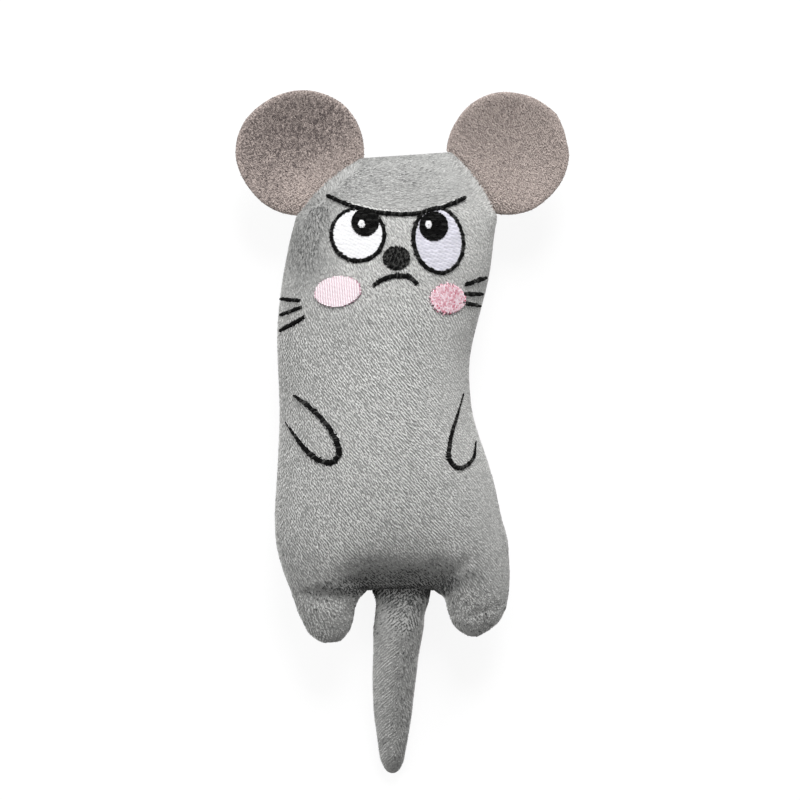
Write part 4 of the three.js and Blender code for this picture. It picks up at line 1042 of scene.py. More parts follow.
def body_pile(name, cloth, plush, rng):
    """Pile of one panel: tufts on ribs over the cloth, closer on the head and legs, trimmed round the embroidery.

    The head's tufts stray from their ribs, are finer and lie flatter; those over an edge or on a leg are shorter.
    """
    spread = 1.0
    pitch, step = plush.rib_pitch / MM * spread, plush.rib_step / MM * spread
    turn = math.radians(RIB_ANGLE)
    row, column = cloth.lattice(pitch, step, turn, RIB_STAGGER, rng)
    extra_row, extra_column = cloth.lattice(pitch, step, turn, EXTRA_STAGGER, rng)
    across, level = cloth.sample(cloth.plan, extra_row, extra_column).T
    head_from, legs_to, belly_to, belly_half = 88, -2, 8, 17
    more = (level + rng.normal(0, 4, len(level)) > head_from) | (level + rng.normal(0, 1, len(level)) < legs_to)
    more |= (level + rng.normal(0, 2, len(level)) < belly_to) & (np.abs(across + 1) < belly_half)
    row, column = np.concatenate([row, extra_row[more]]), np.concatenate([column, extra_column[more]])
    plan = cloth.sample(cloth.plan, row, column)
    x, y = plan[:, 0], plan[:, 1]
    fine = ease(76, 98, y)
    roots = cloth.sample(cloth.at, row, column)
    normals = unit(cloth.sample(cloth.normals, row, column))
    right, up = cloth.tangents(row, column)
    stray = rng.normal(0, 0.28, (2, len(x))) * fine
    roots = roots + right * stray[0][:, None] + up * stray[1][:, None]
    x, y = x + stray[0], y + stray[1]
    way = front_nap(x, y)
    swerve = rng.normal(0, 0.1, len(x)) + 0.25 * fine * (soft_noise(x, y, 4, 5) - 0.5)
    ways = turned(right, up, way, swerve, normals)
    over = ease(0.2, 0.9, (ways[:, :2] * normals[:, :2]).sum(1) + 0.7 * np.hypot(normals[:, 0], normals[:, 1]))
    leg = ease(3, -3, y)
    length = plush.pile_length / MM * rng.uniform(0.62, 0.95, len(x)) * (1 - 0.5 * over) * (1 - 0.3 * leg)
    width = plush.pile_width / MM * rng.uniform(0.95, 1.25, len(x)) * (1 - 0.34 * fine - 0.12 * leg)
    lean = plush.pile_lean * rng.uniform(0.8, 1.2, len(x)) * (1 - 0.4 * fine) * (1 - 0.5 * over) * (1 + 0.6 * leg)
    patchy = soft_noise(x, y, 9, 3) * 0.5 + soft_noise(x, y, 3.1, 4) * 0.5 - 0.5
    along, aside = rotated(x, y, (way[:, 0], -way[:, 1]))
    streaks = soft_noise(along, aside * 5, 3.5, 6) - 0.5
    shade = rib_shade(along, aside, rng) * (1 - fine) + (0.74 + 0.18 * streaks + rng.normal(0, 0.12, len(x))) * fine
    mottle = 0.12 + 0.75 * (soft_noise(along, aside * 2, 1.0, 17) - 0.5)
    shade += 0.07 * patchy + leg * (mottle + rng.normal(0, 0.34, len(x)))
    keep = np.ones(len(x), bool)
    if cloth.facing > 0:
        # Painted light and painted shade of the front, varied at random off the head
        shade += front_shade(x, y) * (1 + (1 - fine) * rng.normal(0, 0.3, len(x)))
        near = np.maximum(near_ear(x, y, "left"), near_ear(x, y, "right"))
        length += near * plush.pile_length / MM * rng.uniform(0, 0.8, len(x))
        lean += near * (math.radians(32) * rng.uniform(0.6, 1.3, len(x)) - lean)
        # Painted light on the raised tufts by the ears' seams, which shade each other
        shade += 0.1 * near
        gap = from_embroidery(x, y)
        reach = from_embroidery(x + ways[:, 0] * length, y + ways[:, 1] * length)
        keep = gap > -0.1
        length = np.where(keep & (reach < 0), length * 0.45, length)
    shade = np.clip(shade, 0, 1)
    if cloth.facing > 0:
        # Painted shadow: the deepest shade in the fold over the tail, and in spots at the gaps beside it
        fold_shadow_mask = (np.abs(above_fold(x, y) - 0.2) < 0.65) & (np.abs(x - 1) < 8)
        deep = np.max([share * spot(x, y, *place) for *place, share in PAINTED_SHADOW_SPOTS], 0)
        shade = np.where(fold_shadow_mask, PAINTED_SHADOW_SHADE, shade + PAINTED_SHADOW_SHADE * deep)
    return tufts(name, *(values[keep] for values in (roots, normals, ways, length, width, lean, shade)))


# Embroidery


def thread_tubes(name, paths, normals, radius, tone, dive):
    """One closed tube for each path of points, five-sided, with its flat ends closed.

    The map holds the thread's tone across and, up, how far it is out of its needle hole.
    """
    sides = 5
    along = unit(np.gradient(paths, axis=1))
    across = unit(np.cross(along, normals))
    up = np.cross(across, along)
    turn = np.arange(sides) * 2 * np.pi / sides
    ring = across[:, :, None] * np.cos(turn)[:, None] + up[:, :, None] * np.sin(turn)[:, None]
    points = paths[:, :, None] + ring * radius
    count, steps = paths.shape[:2]
    index = np.arange(count * steps * sides).reshape(count, steps, sides)
    after = np.roll(index, -1, 2)
    quads = np.stack([index[:, :-1], index[:, 1:], after[:, 1:], after[:, :-1]], -1).reshape(-1, 4)
    caps = np.concatenate([index[:, 0], index[:, -1, ::-1]])
    mesh = new_mesh(name, points, quads, caps)
    u = tone[..., None] + np.cos(turn) * 0.004
    v = dive[..., None] + np.sin(turn) * 0.003 + (np.arange(steps) % 2 * 0.004)[:, None]
    places = np.stack(np.broadcast_arrays(np.clip(u, 0.01, 0.99), np.clip(v, 0.01, 0.99)), -1).reshape(-1, 2)
    add_map(mesh, "Thread", places[np.concatenate([quads.ravel(), caps.ravel()])])
    return mesh


def lay(name, plans, lifts, radius, tone, dive):
    """Threads laid on the front: plan paths set on the cloth and lifted along its normals."""
    cloth = PANELS["front"]
    row, column, _ = cloth.locate(plans[..., 0].ravel(), plans[..., 1].ravel())
    places = cloth.sample(cloth.at, row, column).reshape(*plans.shape[:2], 3)
    normals = unit(cloth.sample(cloth.normals, row, column)).reshape(places.shape)
    return thread_tubes(name, places + normals * lifts[..., None], normals, radius, tone, dive)


def satin(name, path, widths, thread, rng, closed=False, over=0.0):
    """Satin stitch: threads side by side across a path, each an arch that dives into the cloth at both ends.

    The widths are those at even steps along the path. Some threads are longer, each end is a little uneven, and
    narrow places sink into the pile.
    """
    pitch = thread.pitch / MM * 0.95
    spots = smooth_path(path, pitch)
    if closed:
        spots = spots[:-1]
    ahead = np.roll(spots, -1, 0) - np.roll(spots, 1, 0) if closed else np.gradient(spots, axis=0)
    forward = unit(ahead)
    aside = np.stack([-forward[:, 1], forward[:, 0]], -1)
    count = len(spots)
    width = half_widths(widths, count)
    steps = np.linspace(-1, 1, 7)
    usual, longer, often, spread = 0.86, 0.55, 0.25, 0.07
    uneven = usual + longer * (rng.random((count, 2)) < often) + rng.normal(0, spread, (count, 2))
    reach = np.where(steps < 0, uneven[:, :1], uneven[:, 1:]) * width[:, None] * steps
    slant = 0.5 * pitch * steps + rng.normal(0, 0.03, (count, 1))
    plans = spots[:, None] + aside[:, None] * reach[..., None] + forward[:, None] * slant[..., None]
    arch = np.sqrt(np.clip(1 - np.abs(steps) ** 3, 0, 1))
    high = (thread.lift / MM + over) * (0.35 + 0.65 * ease(0.03, 0.22, width))[:, None]
    lifts = high * arch - 0.15 * (1 - arch) + rng.normal(0, 0.02, (count, 1))
    tone = 0.8 * rng.random((count, 1)) * np.ones(len(steps))
    return lay(name, plans, lifts, thread.radius / MM * 1.15, tone, np.broadcast_to(arch, tone.shape))


def filled(name, shape, thread, rng, over=0.0, turn=0.0, edge=0.06, stitch=3.0, rows=(3, 2), tones=(0, 1, 0.8)):
    """Filled patch: rows of running stitch across an ellipse, each stitch an arch, the needle holes stepped by row.

    So many rows share their holes, and the next ones are stepped by a part of a stitch. The tone of a stitch is
    random between the least and the most, raised to a power.
    """
    cx, cy, a, b, tilt = shape
    pitch, stitch = thread.pitch / MM, thread.stitch / MM * stitch
    lean = math.radians(tilt) - turn
    reach = math.hypot(a * math.sin(lean), b * math.cos(lean))
    offsets = np.arange(-reach + pitch / 2, reach, pitch)
    # Half-length and middle of the ellipse's chord at each offset from its centre
    square = (math.cos(lean) / a) ** 2 + (math.sin(lean) / b) ** 2
    cross = math.sin(lean) * math.cos(lean) * (1 / a ** 2 - 1 / b ** 2) * offsets
    rest = ((math.sin(lean) / a) ** 2 + (math.cos(lean) / b) ** 2) * offsets ** 2 - 1
    half = np.sqrt(np.maximum(cross ** 2 - square * rest, 0)) / square
    middle = -cross / square
    t = np.linspace(-1, 1, max(int(2 * a / stitch * 8), 8) + 1)
    ends = half[:, None] + rng.normal(0, edge, (len(half), 1))
    s = middle[:, None] + ends * t
    u, v = rotated(s, offsets[:, None], (math.cos(turn), math.sin(turn)))
    plans = np.stack([cx + u, cy + v], -1)
    together, steps = rows
    phase = (np.arange(len(half)) // together % steps)[:, None] / steps + rng.normal(0, 0.06, (len(half), 1))
    count = s / stitch + phase
    wave = np.abs(np.sin(np.pi * count)) ** 0.5
    close = np.clip((1 - np.abs(t)) * np.maximum(half, 0.3)[:, None] / 0.35, 0, 1) ** 0.5
    lifts = (thread.lift / MM + over) * close * (0.62 + 0.38 * wave) - 0.12 * (1 - close)
    least, most, power = tones
    chosen = least + (most - least) * rng.random((len(half), 64)) ** power
    tone = np.take_along_axis(chosen, np.floor(count).astype(int) % 64, 1)
    return lay(name, plans, lifts, thread.radius / MM, tone, wave ** 2.4 * close)


def ellipse(shape, inset):
    """Closed path round a patch, drawn in by the inset: cosine and sine of an even turn, tilted."""
    cx, cy, a, b, tilt = shape
    angle = np.linspace(0, 2 * np.pi, 73)
    turn = math.radians(tilt)
    s, t = (a - inset) * np.cos(angle), (b - inset) * np.sin(angle)
    return np.stack([cx + s * math.cos(turn) - t * math.sin(turn), cy + s * math.sin(turn) + t * math.cos(turn)], -1)


# Ears

# How far each ply is drawn in from the ear's outline, and how far its inner side stands off the middle surface
FACING_SHRINK, BACK_SHRINK, PLY_GAP = 0.1, 0.3, 0.08
# Shade of each facing at its top, and its rises towards the head and at the fold, which are painted light
FACING_SHADE = {"left": (0.32, 0.22, 0.5), "right": (0.8, 0.04, 0.25)}
# How loosely each facing's nap is combed, as the spread of its angle in radians
FACING_LOOSE = {"left": 1.1, "right": 0.5}


def ear_face(radius, centre):
    """Ear's flat outline as distances along the seam and outwards over a grid.

    Rows run out from the base by the cosine of an even turn; each row spans the round outline's chord.
    """
    start = math.acos(np.clip((centre + EAR_BASE) / radius, -1, 1))
    angle = np.linspace(start, np.pi * 0.985, 49)[:, None]
    s = np.linspace(-1, 1, 57)
    s = np.sin(s * np.pi / 2) * 0.35 + s * 0.65
    out = np.repeat(centre - radius * np.cos(angle), len(s), 1)
    return np.sqrt(np.maximum(radius ** 2 - (out - centre) ** 2, 0)) * s, out


def ear_section(settings, far, out, thinnest):
    """Height of an ear's middle surface and thickness of a ply, at a share of the radius from the middle.

    The dish rises by the square of that share and fades to nothing at the fold. A ply rounds in towards the rim by
    the root of one less the tenth power, and thins into the seam.
    """
    dish = settings.cup / MM * (far ** 2 - 0.35) * ease(-2, 9, out)
    round_rim = np.sqrt(np.clip(1 - far ** 10, thinnest, 1))
    return dish, settings.ply / MM * round_rim * ease(-4.5, 0.5, out)


class Ear:
    """One ear's fold and directions along the seam and outwards, from its hinge, and its two plies."""

    def __init__(self, side, settings):
        self.side, self.settings = side, settings
        self.number = ("left", "right").index(side)
        hinge = JOINTS[f"{side}_ear_fold"]
        self.fold = np.array(hinge["pos_m"]) / MM - SEAM_ORIGIN
        self.along = np.array(hinge["axis"], float)
        self.outwards = np.cross((0, 0, 1), self.along)
        self.middle = self.fold + self.along * EAR_SHIFT[side]

    def outline(self, shrink=0.0):
        """Radius of the ear's circle, drawn in, and its centre's distance from the fold."""
        return self.settings.radius / MM - shrink, self.settings.centre_out / MM

    def place(self, along, out, up):
        """Sewing-frame places of distances along the seam, outwards and forwards."""
        flat = self.middle + along[..., None] * self.along + out[..., None] * self.outwards
        return flat + up[..., None] * np.array((0, 0, 1.0))

    def uneven(self, along, out):
        """Moves places so that the rim follows its uneven cut, by the square of their distance from the middle."""
        radius, centre = self.outline()
        flat = along[..., None] * self.along + (out - centre)[..., None] * self.outwards
        angle, far = np.degrees(np.arctan2(flat[..., 1], flat[..., 0])), np.linalg.norm(flat, axis=-1) / radius
        grow = 1 + far * np.interp(angle, *EAR_RIM[self.side].T, period=360) / radius
        return along * grow, centre + (out - centre) * grow

    def ply(self, name, facing, shrink, materials):
        """One ply as a closed grid: its inner side stands off the middle surface, and its face a thickness further."""
        radius, centre = self.outline(shrink)
        along, out = ear_face(radius, centre)
        far = np.clip(np.hypot(along, out - centre) / radius, 0, 1)
        dish, thick = ear_section(self.settings, far, out, 0.01)
        along, out = self.uneven(along, out)
        inner, outer = dish + facing * PLY_GAP, dish + facing * (PLY_GAP + thick)
        points, quads = closed_grid(self.place(along, out, outer), self.place(along, out, inner))
        mesh = new_mesh(name, points, quads if facing > 0 else quads[:, ::-1])
        return new_piece(mesh, materials, None)

    def pile(self, name, facing, shrink, area, length, width, lean, loose, shade_of, material, seed):
        """Tufts spread evenly over a ply's face and round its rim, on a spiral of golden angles."""
        rng = np.random.default_rng(seed)
        settings = self.settings
        radius, centre = self.outline(shrink)
        count = int(np.pi * radius ** 2 / area)
        k = np.arange(count) + 0.5
        r, turn = radius * np.sqrt(k / count), k * np.pi * (3 - math.sqrt(5)) + rng.normal(0, 0.02, count)
        along, out = r * np.cos(turn), centre + r * np.sin(turn)
        keep = out > -1.6
        along, out, r, turn = along[keep], out[keep], r[keep], turn[keep]
        far = r / radius
        dish, thick = ear_section(settings, far, out, 0)
        roots = self.place(*self.uneven(along, out), dish + facing * (PLY_GAP + thick))
        round_rim = 5 * far ** 9 / radius / np.sqrt(np.clip(1 - far ** 10, 0, 1) + 0.02)
        slope = 2 * settings.cup / MM * far / radius - facing * settings.ply / MM * round_rim
        tilt_a, tilt_o = slope * np.cos(turn), slope * np.sin(turn)
        normals = unit(self.place(-tilt_a, -tilt_o, np.ones_like(along)) - self.middle) * facing
        angle = loose * rng.normal(0, 1, len(along)) + math.radians(-55)
        flat = np.stack([np.cos(angle), np.sin(angle), np.zeros_like(angle)], -1)
        ways = unit(flat - normals * (flat * normals).sum(1, keepdims=True))
        trimmed = length * (1 - 0.6 * ease(0.9, 1, far))
        sizes = [value * rng.uniform(0.7, 1.25, len(along)) for value in (trimmed, width, lean)]
        shade = np.clip(shade_of(along, out, rng), 0, 1)
        mesh = tufts(name, roots, normals, ways, *sizes, shade)
        return new_piece(mesh, [material], None)

    def facing_shade(self, along, out, rng):
        """Shade of the facing: painted light rising towards the head, less painted shade by the crown and a dim rim."""
        top, rise, base = FACING_SHADE[self.side]
        wide = soft_noise(along + 40 * self.number, out, 7, 21)
        fine = soft_noise(along, out + 30 * self.number, 0.9, 22)
        crownwards = along * np.sign(self.along[1])
        if self.side == "left":
            dim = 0.2 * ease(-10, 6, crownwards) * ease(24, 14, out)
        else:
            dim = 0.26 * ease(0, 13, crownwards) * ease(14, 4, out)
        radius, centre = self.outline()
        rim = 0.15 * ease(0.93, 1, np.hypot(along, out - centre) / radius) * ease(-14, -2, crownwards)
        smooth = top + rise * ease(20, 4, out) + base * ease(9, 0, out) - dim - rim
        return smooth + 0.3 * (0.5 * wide + fine - 0.75) + rng.normal(0, 0.24, len(along))

    def back_shade(self, along, out, rng):
        """Shade of the back's tufts: even, with a random part for each."""
        return 0.74 + rng.normal(0, 0.14, len(along))


# Tail


def tail_size(settings, depth):
    """Tail's middle, half-width, half-thickness and drop at depths below the crotch.

    The half-width follows the taper and closes by a high power at the tip. The half-thickness opens from the flat
    root to most of the half-width. The middle line lies level in the seam, then drops at an even slope.
    """
    closing = np.sqrt(np.clip(1 - (np.maximum(depth, 0) / (settings.length / MM)) ** 9, 0, 1))
    middle = through(TAIL_TAPER[:, 0], TAIL_TAPER[:, 1], np.maximum(depth, 0))
    wide = through(TAIL_TAPER[:, 0], TAIL_TAPER[:, 2], np.maximum(depth, 0)) * closing
    flat = settings.root_thickness / MM / 2
    thick = (flat + (0.85 * wide - flat) * ease(0, 15, depth)) * np.minimum(closing * 1.3, 1)
    bend = np.maximum(depth + 0.5, 0)
    drop = math.tan(settings.droop) * bend * bend / (bend + 3)
    return middle, wide, thick, drop


def tail_point(settings, depth, angle, inset=0.0):
    """Tail surface: an ellipse of the tail's half-width and half-thickness round its middle line."""
    middle, wide, thick, drop = tail_size(settings, depth)
    wide, thick = np.maximum(wide - inset, 0.02), np.maximum(thick - inset, 0.02)
    return np.stack(np.broadcast_arrays(
        middle + wide * np.cos(angle), -depth + 0 * angle, thick * np.sin(angle) - drop), -1)


def tail_grid(settings, inset, rows=84, columns=56):
    """Tail surface as rings down it, whose depths go by the sine of an even turn, from inside the seam to the tip."""
    end = settings.length / MM - 0.02 - inset
    depth = -1.2 + (end + 1.2) * np.sin(np.linspace(0, np.pi / 2, rows))
    angle = np.arange(columns) * 2 * np.pi / columns
    return tail_point(settings, depth[:, None], angle[None], inset)


def parted_ribs(tail, plush, rng):
    """Tufts on ribs that run down to each side of a rough parting: places round and down the tail, and their runs."""
    pitch, step, reach = plush.rib_pitch / MM, plush.rib_step / MM * 0.62, 70
    ribs, marks = np.arange(-reach, reach, pitch), np.arange(-reach, reach, step)
    found = []
    # Side of the parting, angle down from the side, lowest depth, and how far the tufts stray from their ribs
    sets = ((-1, 42, 200, 0.12), (1, 66, 200, 0.12), (-1, 60, 7, 0.4), (1, 66, 7, 0.4))
    for sign, degrees, lowest, stray in sets:
        r, s = (grid.ravel() for grid in np.meshgrid(ribs, marks, indexing="ij"))
        s = s + rng.random(len(s)) * step
        r = r + rng.normal(0, stray, len(r))
        run = np.array([sign * math.cos(math.radians(degrees)), math.sin(math.radians(degrees))])
        around, depth = rotated(s, r, run)
        end = np.minimum(tail.length / MM - 0.3, lowest * (0.6 + 0.4 * rng.random(len(depth))))
        inside = (depth > -0.4) & (depth < end)
        inside &= (around + rng.normal(0, 0.9, len(around))) * sign > 0
        around, depth = around[inside], depth[inside]
        _, wide, thick, _ = tail_size(tail, depth)
        inside = np.abs(around) < math.pi * (wide + thick) / 2
        found.append((around[inside], depth[inside], np.tile(run, (inside.sum(), 1))))
    return tuple(np.concatenate(part) for part in zip(*found))


def tail_shade(around, depth, run, rng):
    """Shade of the tail's tufts by their places round and down it: ribs and soft patches, less eased shadows.

    The shadows lie at the root, left of the parting, and in a band below the root; knots and strokes of the nap are
    darker right of the parting. The first tufts under the belly's fold have the deepest shade.
    """
    patchy = soft_noise(around, depth, 4, 31) - 0.5
    knots = ease(0.55, 0.8, soft_noise(around * 2.0, depth * 1.2, 1.0, 33))
    along, aside = rotated(around, depth, (run[:, 0], -run[:, 1]))
    strokes = ease(0.5, 0.75, soft_noise(along, aside * 3, 1.1, 35))
    root = 0.44 * ease(9, 0, depth) + 0.45 * ease(2.5, 0, depth) + 0.05 * ease(24, 16, depth)
    left = 0.4 * ease(16, 8, depth) * np.exp(-((around + 1.6) / 3.5) ** 2)
    band = (0.3 + 0.2 * ease(-1.5, 2.5, around)) * ease(5, 2.5, around)
    band = band * ease(15.5, 10.5, depth) * ease(4, 8, depth)
    nap = (0.42 * knots * ease(-3, 0, around) * ease(5.5, 3, around)
           + 0.3 * strokes * ease(-1.5, 1.5, around) * ease(7.5, 5.5, around))
    shade = rib_shade(along, aside, rng) + rng.normal(0, 0.1, len(around)) + 0.16 * patchy
    shade = shade - root - left - band - nap - 0.08 + 0.2 * ease(0, 4, around)
    return np.where((depth < 1.0) & (around < 2), PAINTED_SHADOW_SHADE, np.clip(shade, 0, 1))


# Operators


class CATNIP_OT_panels(bpy.types.Operator):
    """Front and back panels of the body, with their pile"""

    bl_idname = "catnip.panels"
    bl_label = "Body panels"

    def execute(self, context):
        settings = context.scene.catnip_mouse
        PANELS["front"], PANELS["back"] = make_panels(settings.body)
        plush = settings.plush
        # The backing is darker than the pile: painted shade between the tufts
        backing = cloth_material("plush_backing", scaled(plush.light, 0.3), scaled(plush.light, 0.5), 0.0005)
        pile = pile_material("plush_pile", plush.dark, plush.light)
        for side, seed in (("front", 11), ("back", 12)):
            cloth = PANELS[side]
            points, quads = shell_of(cloth, settings.body.cloth / MM)
            piece = new_piece(new_mesh(f"{side}_cloth", points, quads), [backing])
            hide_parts(f"{side}_panel")
            mesh = body_pile(f"{side}_pile", cloth, plush, np.random.default_rng(seed))
            new_piece(mesh, [pile])
        return {"FINISHED"}


class CATNIP_OT_seam(bpy.types.Operator):
    """Stitching round the side seam: even arches along the panel's edge, moved in a little"""

    bl_idname = "catnip.seam"
    bl_label = "Side seam"

    def execute(self, context):
        inset, stitch, height, radius = 0.35, 2.4, 0.25, 0.16
        cloth = PANELS["front"]
        left, right, crotch = cloth.left, cloth.right, cloth.crotch
        at = cloth.points
        loop = np.concatenate([
            at[crotch:, -1], at[-1, -2::-1], at[-2:crotch - 1:-1, 0], at[crotch - 1::-1, 0], at[0, 1:left + 1],
            at[1:crotch + 1, left], at[crotch, left + 1:right], at[crotch::-1, right], at[0, right + 1:],
            at[1:crotch, -1],
        ])[:, :2]
        before = unit(loop - np.roll(loop, 1, 0))
        after = unit(np.roll(loop, -1, 0) - loop)
        inwards = unit(np.stack([-(before + after)[:, 1], (before + after)[:, 0]], -1))
        loop = loop + inwards * inset
        closed = np.concatenate([loop, loop[:1]])
        run = travelled(closed)
        count = int(run[-1] / stitch)
        steps = np.linspace(0.08, 0.92, 6)
        arch = np.sin(np.pi * steps)
        marks = (np.arange(count)[:, None] + steps) * run[-1] / count
        flat = np.stack([np.interp(marks, run, closed[:, k]) for k in (0, 1)], -1)
        paths = np.concatenate([flat, height * arch[None, :, None] * np.ones((count, 1, 1))], -1)
        normals = np.broadcast_to((0.0, 0.0, 1.0), paths.shape)
        tone = np.random.default_rng(90).random((count, 1)) * np.ones(len(steps))
        mesh = thread_tubes("side_seam_thread", paths, normals, radius, tone, np.broadcast_to(arch, tone.shape))
        grey = thread_material("seam_thread", (0.38, 0.38, 0.375), (0.2, 0.2, 0.195), (0.6, 0.6, 0.6))
        piece = new_piece(mesh, [grey])
        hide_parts("side_seam_stitching")
        return {"FINISHED"}


class CATNIP_OT_lines(bpy.types.Operator):
    """Satin-stitched lines: brow, mouth, whiskers and arms"""

    bl_idname = "catnip.lines"
    bl_label = "Stitched lines"

    def execute(self, context):
        thread = context.scene.catnip_mouse.thread
        # Black thread: its near-black deep tone is painted shadow, its lighter random tones painted sheen
        black = thread_material("black_thread", thread.black, (0.004, 0.004, 0.004), (0.4, 0.4, 0.4), 0.55, 0.04)
        for seed, (node, path, widths) in enumerate(stitched_lines()):
            over = 0.35 if "brow" in node else 0.0
            mesh = satin(f"{node}_threads", path, widths, thread, np.random.default_rng(100 + seed), over=over)
            piece = new_piece(mesh, [black])
            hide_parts(node)
        return {"FINISHED"}


class CATNIP_OT_patches(bpy.types.Operator):
    """Filled patches: eyes, nose and cheeks"""

    bl_idname = "catnip.patches"
    bl_label = "Stitched patches"

    def execute(self, context):
        thread = context.scene.catnip_mouse.thread
        black = bpy.data.materials["black_thread"]
        white = thread_material("white_thread", thread.white, scaled(thread.white, 0.92), (0.9, 0.9, 0.91))
        shaded = thread_material(
            "shaded_white_thread", thread.lavender, scaled(thread.lavender, 0.8), (0.78, 0.78, 0.81))
        pink = thread_material("pink_thread", thread.pink, (0.6, 0.06, 0.15), (0.74, 0.5, 0.57))
        pale = thread_material(
            "pale_pink_thread", thread.pale_pink, scaled(thread.pale_pink, 0.95), (0.62, 0.27, 0.39))

        def add(node, mesh, material):
            """Puts a patch in the place of its node."""
            piece = new_piece(mesh, [material])
            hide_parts(node)

        for k, side in enumerate(("left", "right")):
            rng = np.random.default_rng(200 + k)
            cx, cy, a, b, tilt = EYES[side]
            under = EYE_BAND * 0.6
            inner = (cx, cy, a - under, b - under, tilt)
            ring = ellipse(EYES[side], EYE_BAND / 2)
            add(f"{side}_eye_white", filled(
                f"{side}_eye_white_threads", inner, thread, rng, over=-0.2, rows=(1, SCATTER)), (white, shaded)[k])
            add(f"{side}_eye_outline", satin(
                f"{side}_eye_outline_threads", ring, (EYE_BAND, EYE_BAND), thread, rng, closed=True), black)
            add(f"{side}_pupil", filled(
                f"{side}_pupil_threads", PUPILS[side], thread, rng, over=0.2, tones=(0.4, 0.64, 1)), black)
            add(f"{side}_eye_glint", filled(f"{side}_eye_glint_threads", GLINTS[side], thread, rng, over=0.55), white)
            add(f"{side}_cheek_patch", filled(
                f"{side}_cheek_threads", CHEEKS[side], thread, rng, **CHEEK_FILL[side]), (pale, pink)[k])
        add("nose_patch", filled("nose_threads", NOSE, thread, np.random.default_rng(210), **NOSE_FILL), black)
        return {"FINISHED"}


class CATNIP_OT_ears(bpy.types.Operator):
    """Two-ply ears with a velour facing and a plush back"""

    bl_idname = "catnip.ears"
    bl_label = "Ears"

    def execute(self, context):
        settings = context.scene.catnip_mouse
        ear_settings, plush = settings.ear, settings.plush
        mauve = cloth_material("ear_velour_backing", scaled(ear_settings.dark, 0.8), ear_settings.light, 0.0004)
        velour = pile_material("ear_velour_pile", ear_settings.dark, ear_settings.light)
        grey, grey_pile = bpy.data.materials["plush_backing"], bpy.data.materials["plush_pile"]
        quick = 1.0
        for k, side in enumerate(("left", "right")):
            ear = Ear(side, ear_settings)
            facing_pile = ear.pile(
                f"{side}_ear_facing_pile", 1, FACING_SHRINK, ear_settings.velour_area * quick,
                ear_settings.velour_length / MM, 0.5, math.radians(36), FACING_LOOSE[side],
                ear.facing_shade, velour, 300 + k)
            back_pile = ear.pile(
                f"{side}_ear_back_pile", -1, BACK_SHRINK, 0.2 * quick, plush.pile_length / MM * 0.5,
                plush.pile_width / MM, plush.pile_lean, 0.4, ear.back_shade, grey_pile, 310 + k)
            facing = ear.ply(f"{side}_ear_facing_cloth", 1, FACING_SHRINK, [mauve])
            back = ear.ply(f"{side}_ear_back_cloth", -1, BACK_SHRINK, [grey])
            for cloth, pile, node, shrink, slot in (
                    (facing, facing_pile, f"{side}_ear_facing", FACING_SHRINK, "ear_mauve"),
                    (back, back_pile, f"{side}_ear_back", BACK_SHRINK, "plush_grey")):
                for piece in (cloth, pile):
                    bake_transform(piece)
                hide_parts(node)
        return {"FINISHED"}


class CATNIP_OT_tail(bpy.types.Operator):
    """Stuffed tail with its pile parted along the top"""

    bl_idname = "catnip.tail"
    bl_label = "Tail"

    def execute(self, context):
        settings = context.scene.catnip_mouse
        tail, plush = settings.tail, settings.plush
        outer = tail_grid(tail, 0.0)
        backing, grey_pile = bpy.data.materials["plush_backing"], bpy.data.materials["plush_pile"]
        cloth = new_piece(new_mesh("tail_cloth", outer, *tube_faces(*outer.shape[:2])), [backing], None)
        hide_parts("tail_sleeve")

        rng = np.random.default_rng(400)
        around, depth, run = parted_ribs(tail, plush, rng)
        _, wide, thick, _ = tail_size(tail, depth)
        parting = math.radians(72)
        turn = parting - around / ((wide + thick) / 2)
        roots = tail_point(tail, depth, turn)
        down = unit(tail_point(tail, depth + 0.1, turn) - tail_point(tail, depth - 0.1, turn))
        right = unit(tail_point(tail, depth, turn - 0.02) - tail_point(tail, depth, turn + 0.02))
        normals = unit(np.cross(right, -down))
        ways = turned(right, down, run, rng.normal(0, 0.12, len(turn)), normals)
        short = 1 - 0.6 * ease(tail.length / MM - 5, tail.length / MM - 1, depth)
        sizes = [value * rng.uniform(0.75, 1.2, len(turn)) for value in (
            plush.pile_length / MM * 0.52 * short, plush.pile_width / MM * 0.8, plush.pile_lean * short)]
        shade = tail_shade(around, depth, run, rng)
        pile = new_piece(tufts("tail_pile", roots, normals, ways, *sizes, shade), [grey_pile], None)

        core = tail_grid(tail, 1.4, 24, 20)
        fibre = new_piece(new_mesh("tail_fibre", core, *tube_faces(*core.shape[:2])), [fibre_material()], None)
        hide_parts("tail_stuffing")
        for piece, slot in ((cloth, "plush_grey"), (pile, "plush_grey"), (fibre, "fibre_white")):
            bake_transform(piece)
        return {"FINISHED"}


def fibre_material():
    """Stuffing fibre, made once."""
    found = bpy.data.materials.get("fibre")
    return found or cloth_material("fibre", (0.72, 0.71, 0.69), (0.9, 0.89, 0.87), 0.0015)


